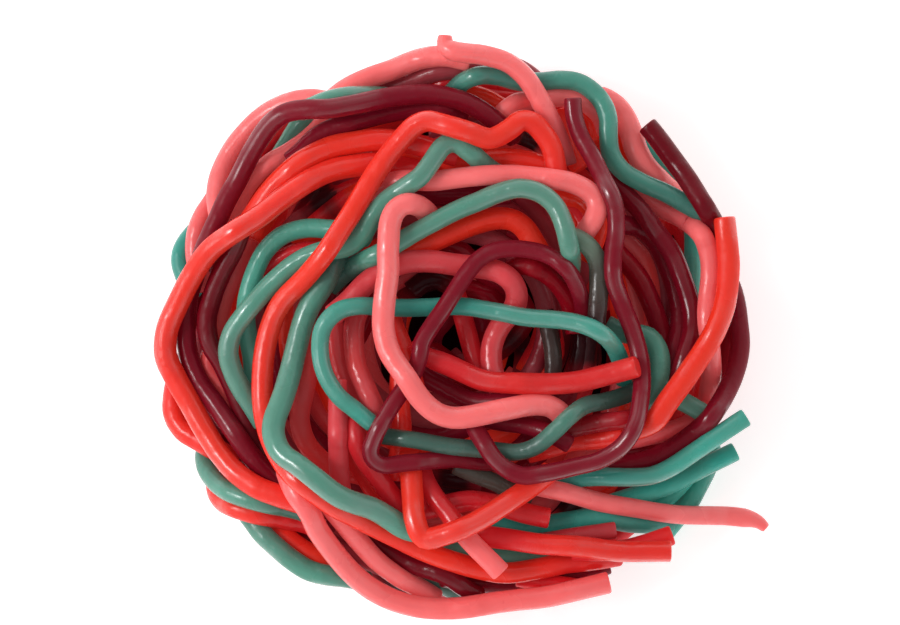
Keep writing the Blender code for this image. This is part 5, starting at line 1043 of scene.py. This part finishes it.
def makeCandy(name, values):
    shader = Shader(name)
    finish = candyFinish
    ring = shader.node("ShaderNodeAttribute", {"attribute_name": "ringPlace"}).outputs["Vector"]
    ringParts = shader.node("ShaderNodeSeparateXYZ", sockets={0: ring}).outputs
    seed = shader.attribute("laceSeed")
    onLace = shader.node("ShaderNodeCombineXYZ", sockets={
        "X": Maths(shader, ringParts[0]) * finish["lineRadius"],
        "Y": Maths(shader, ringParts[1]) * finish["lineRadius"],
        "Z": shader.attribute("laceAlong") * finish["lineStretch"] + seed,
    }).outputs[0]
    lines = shader.noise(onLace, finish["lineScale"], 2.0)
    patches = shader.noise(shader.place, finish["patchScale"], 2.0)
    lumps = shader.noise(shader.place, finish["lumpScale"], 2.0)
    dents = shader.noise(shader.place, finish["dentScale"], 1.0)
    gloss = shader.noise(shader.place, finish["glossScale"], 3.0)

    # colour: by shade of the lace, patches, painted shade by depth in the heap, lines, and painted
    # near-black shadow in the dark places
    depth = shader.attribute("lacePaintedShade")
    tone = shader.attribute("laceTone")
    second = tone.clamp()
    third = (tone - 1.0).clamp()
    top, deep = [shader.mix(third, shader.mix(second, *shades[:2]), shades[2])
                 for shades in zip(*values["shades"])]
    patch = shader.ramp(patches + (seed - 0.5) * finish["patchShift"], *finish["patchRange"])
    dark = shader.ramp(depth, *finish["darkRange"])
    body = shader.mix(patch * finish["patchShare"], top, values["patch"])
    # painted shade: the deeper a ring seems, the more it takes the darker deep colour
    body = shader.mix(shader.ramp(depth, *finish["coverRange"]), body, deep)
    body = shader.mix(shader.ramp(lines, *finish["lineRange"]) * finish["lineShare"], body, deep)
    body = shader.mix(dark, body, finish["darkest"])

    shine = shader.ramp(gloss, *finish["glossRange"])
    threads = shader.ramp(lines, *finish["threadRange"]) * finish["threadShare"]
    coat = shine * (threads + (1.0 - finish["threadShare"])) * shader.attribute("laceGloss")
    dented = shader.bump(dents, *finish["dentBump"], shader.bump(lumps, *finish["lumpBump"]))
    return shader.finish({
        "Base Color": body,
        "Roughness": values["rough"] - shine * (values["rough"] - values["smooth"]),
        "Normal": shader.bump(lines, *finish["lineBump"], dented),
        "IOR": values["ior"],
        "Specular IOR Level": values["specular"],
        "Subsurface Weight": values["subsurface"],
        "Subsurface Radius": finish["subsurfaceColour"],
        "Subsurface Scale": finish["subsurfaceDepth"],
        "Coat Weight": coat * (1.0 - dark) * values["coat"],
        "Coat Roughness": finish["coatRoughness"],
        "Coat IOR": finish["coatIor"],
        # painted glow: the body colour is given off as light, standing in for light through the candy
        "Emission Color": body,
        "Emission Strength": finish["paintedGlow"],
    })


# The dark middle that the laces lie on: a near-black body, painted shade seen through the gaps between
# the laces

core = {
    "foot": 38.0,  # radius of its underside, in millimetres
    "bottom": 2.4,
    "edge": 41.0,
    "thinnest": 1.0,
    "under": 7.5,  # how far it lies below the bed
    "rings": 12,
    "steps": 48,
    "lump": 0.6,
    "lumpScale": 0.35,
    "lumps": 3,
    # near black: painted shade for the deep gaps
    "colours": ((0.02, 0.001, 0.003), (0.006, 0.0005, 0.001)),
    "spotScale": 260.0,
    "spotBump": (0.6, 0.0006),  # strength and height
    "rough": (0.5, 0.3),  # least, and what the spots add
    "specular": 0.1,
}


def makeCore(material):
    outline = [(0.0, core["bottom"]), (core["foot"], core["bottom"])]
    for radius in np.linspace(core["edge"], 0.0, core["rings"]):
        height = float(bedHeight(radius, 0.0)) - core["under"]
        outline.append((radius, max(height, core["bottom"] + core["thinnest"])))
    body = bmesh.new()
    rows = []
    for radius, height in outline:
        if radius == 0.0:
            rows.append([body.verts.new((0.0, 0.0, height))])
            continue
        ring = []
        for angle in (fullTurn * k / core["steps"] for k in range(core["steps"])):
            wave = radius * math.cos(angle * core["lumps"]) + height
            lump = core["lump"] * math.sin(core["lumpScale"] * wave)
            reach = radius + (lump if height > core["bottom"] else 0.0)
            place = (reach * math.cos(angle), reach * math.sin(angle), height + lump / 2)
            ring.append(body.verts.new(place))
        rows.append(ring)
    for low, high in zip(rows, rows[1:]):
        for k in range(core["steps"]):
            n = (k + 1) % core["steps"]
            corners = [low[k % len(low)], low[n % len(low)], high[n % len(high)], high[k % len(high)]]
            body.faces.new(list(dict.fromkeys(corners)))
    bmesh.ops.recalc_face_normals(body, faces=body.faces)
    for vert in body.verts:
        vert.co *= mm
    mesh = bpy.data.meshes.new("heapCore")
    body.to_mesh(mesh)
    body.free()
    mesh.materials.append(material)
    mesh.shade_smooth()
    print("core made")
    return addObject("heapCore", mesh)


def makeCoreMaterial():
    shader = Shader("heapCore")
    spots = shader.noise(shader.place, core["spotScale"], 3.0)
    least, more = core["rough"]
    return shader.finish({
        "Base Color": shader.mix(spots, *core["colours"]),
        "Roughness": spots * more + least,
        "Normal": shader.bump(spots, *core["spotBump"]),
        "Specular IOR Level": core["specular"],
    })


# Table, light and camera

studio = {
    "tableSize": 3.0,
    "tableColour": (0.9, 0.9, 0.9),
    "tableGlow": 0.5,  # keeps the table white under the heap's shadow
    "tableGrain": 900.0,
    "tableRough": (0.6, 0.1),  # least, and what the grain adds
    "skyLow": 1.28,  # light from the walls and, above skyRange, from the darker ceiling
    "skyTop": 0.34,
    "skyRange": (0.25, 0.95),
    # name, place, size in metres, power in watts
    "lights": (
        ("windowLight", (-0.96, 0.08, 0.82), 0.7, 4.4),
        ("sparkLight", (-0.9, 0.16, 0.86), 0.25, 4.2),
    ),
    "lightAim": (0.0, 0.0, 0.015),
    "cameraHeight": 1.5,  # above the plane of the photograph's scale
    "scalePlane": 0.014,
    "pictureWidth": 900,
    "pixelsPerMillimetre": 6.0,
    "pictureCentre": (-0.00033, 0.00258),
    "sensor": 36.0,
}


def makeTable():
    bpy.ops.mesh.primitive_plane_add(size=studio["tableSize"])
    table = bpy.context.object
    table.name = "table"
    shader = Shader("table")
    least, more = studio["tableRough"]
    table.data.materials.append(shader.finish({
        "Base Color": (*studio["tableColour"], 1.0),
        "Roughness": shader.noise(shader.place, studio["tableGrain"], 2.0) * more + least,
        "Emission Color": (*white, 1.0),
        "Emission Strength": studio["tableGlow"],
    }))


def makeLights():
    world = bpy.data.worlds.new("studio")
    world.use_nodes = True
    sky = Nodes(world.node_tree)
    direction = sky.node("ShaderNodeTexCoord").outputs["Generated"]
    height = sky.node("ShaderNodeSeparateXYZ", sockets={0: direction}).outputs["Z"]
    low, high = studio["skyRange"]
    strength = sky.node("ShaderNodeMapRange", sockets={
        "Value": height, "From Min": low, "From Max": high,
        "To Min": studio["skyLow"], "To Max": studio["skyTop"]}).outputs[0]
    background = sky.tree.nodes["Background"]
    background.inputs["Color"].default_value = (*white, 1.0)
    sky.tree.links.new(strength, background.inputs["Strength"])
    bpy.context.scene.world = world
    for name, place, size, power in studio["lights"]:
        data = bpy.data.lights.new(name, "AREA")
        data.size = size
        data.energy = power
        light = addObject(name, data)
        light.location = place
        aim = Vector(studio["lightAim"]) - light.location
        light.rotation_euler = aim.to_track_quat("-Z", "Y").to_euler()
        light.visible_camera = False


def makeCamera():
    data = bpy.data.cameras.new("camera")
    width = studio["pictureWidth"] / studio["pixelsPerMillimetre"] * mm
    data.sensor_width = studio["sensor"]
    data.lens = studio["sensor"] * studio["cameraHeight"] / width
    camera = addObject("camera", data)
    camera.location = (*studio["pictureCentre"], studio["cameraHeight"] + studio["scalePlane"])
    bpy.context.scene.camera = camera


makeCamera()
makeLights()
makeTable()
bpy.context.scene.view_settings.view_transform = "Standard"
print("table, lights and camera made")

strands = layShownLaces()
print("shown laces settled, top at", round(max(s["path"][:, 2].max() for s in strands), 1), "mm")
strands += layFootLaces() + layBuriedLaces() + layUnderLaces()
markCover(strands)
print("all laces laid:", len(strands))

sweepTree = makeSweepTree()
for pieceName, values in candy.items():
    mine = [strand for strand in strands if strand["kind"] == values["kind"]]
    piece = sweepLaces(pieceName, mine, makeCandy(pieceName, values), sweepTree)
    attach(piece, "root")
    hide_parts(heapNode)

heapCore = makeCore(makeCoreMaterial())
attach(heapCore, "root")
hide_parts(heapNode)
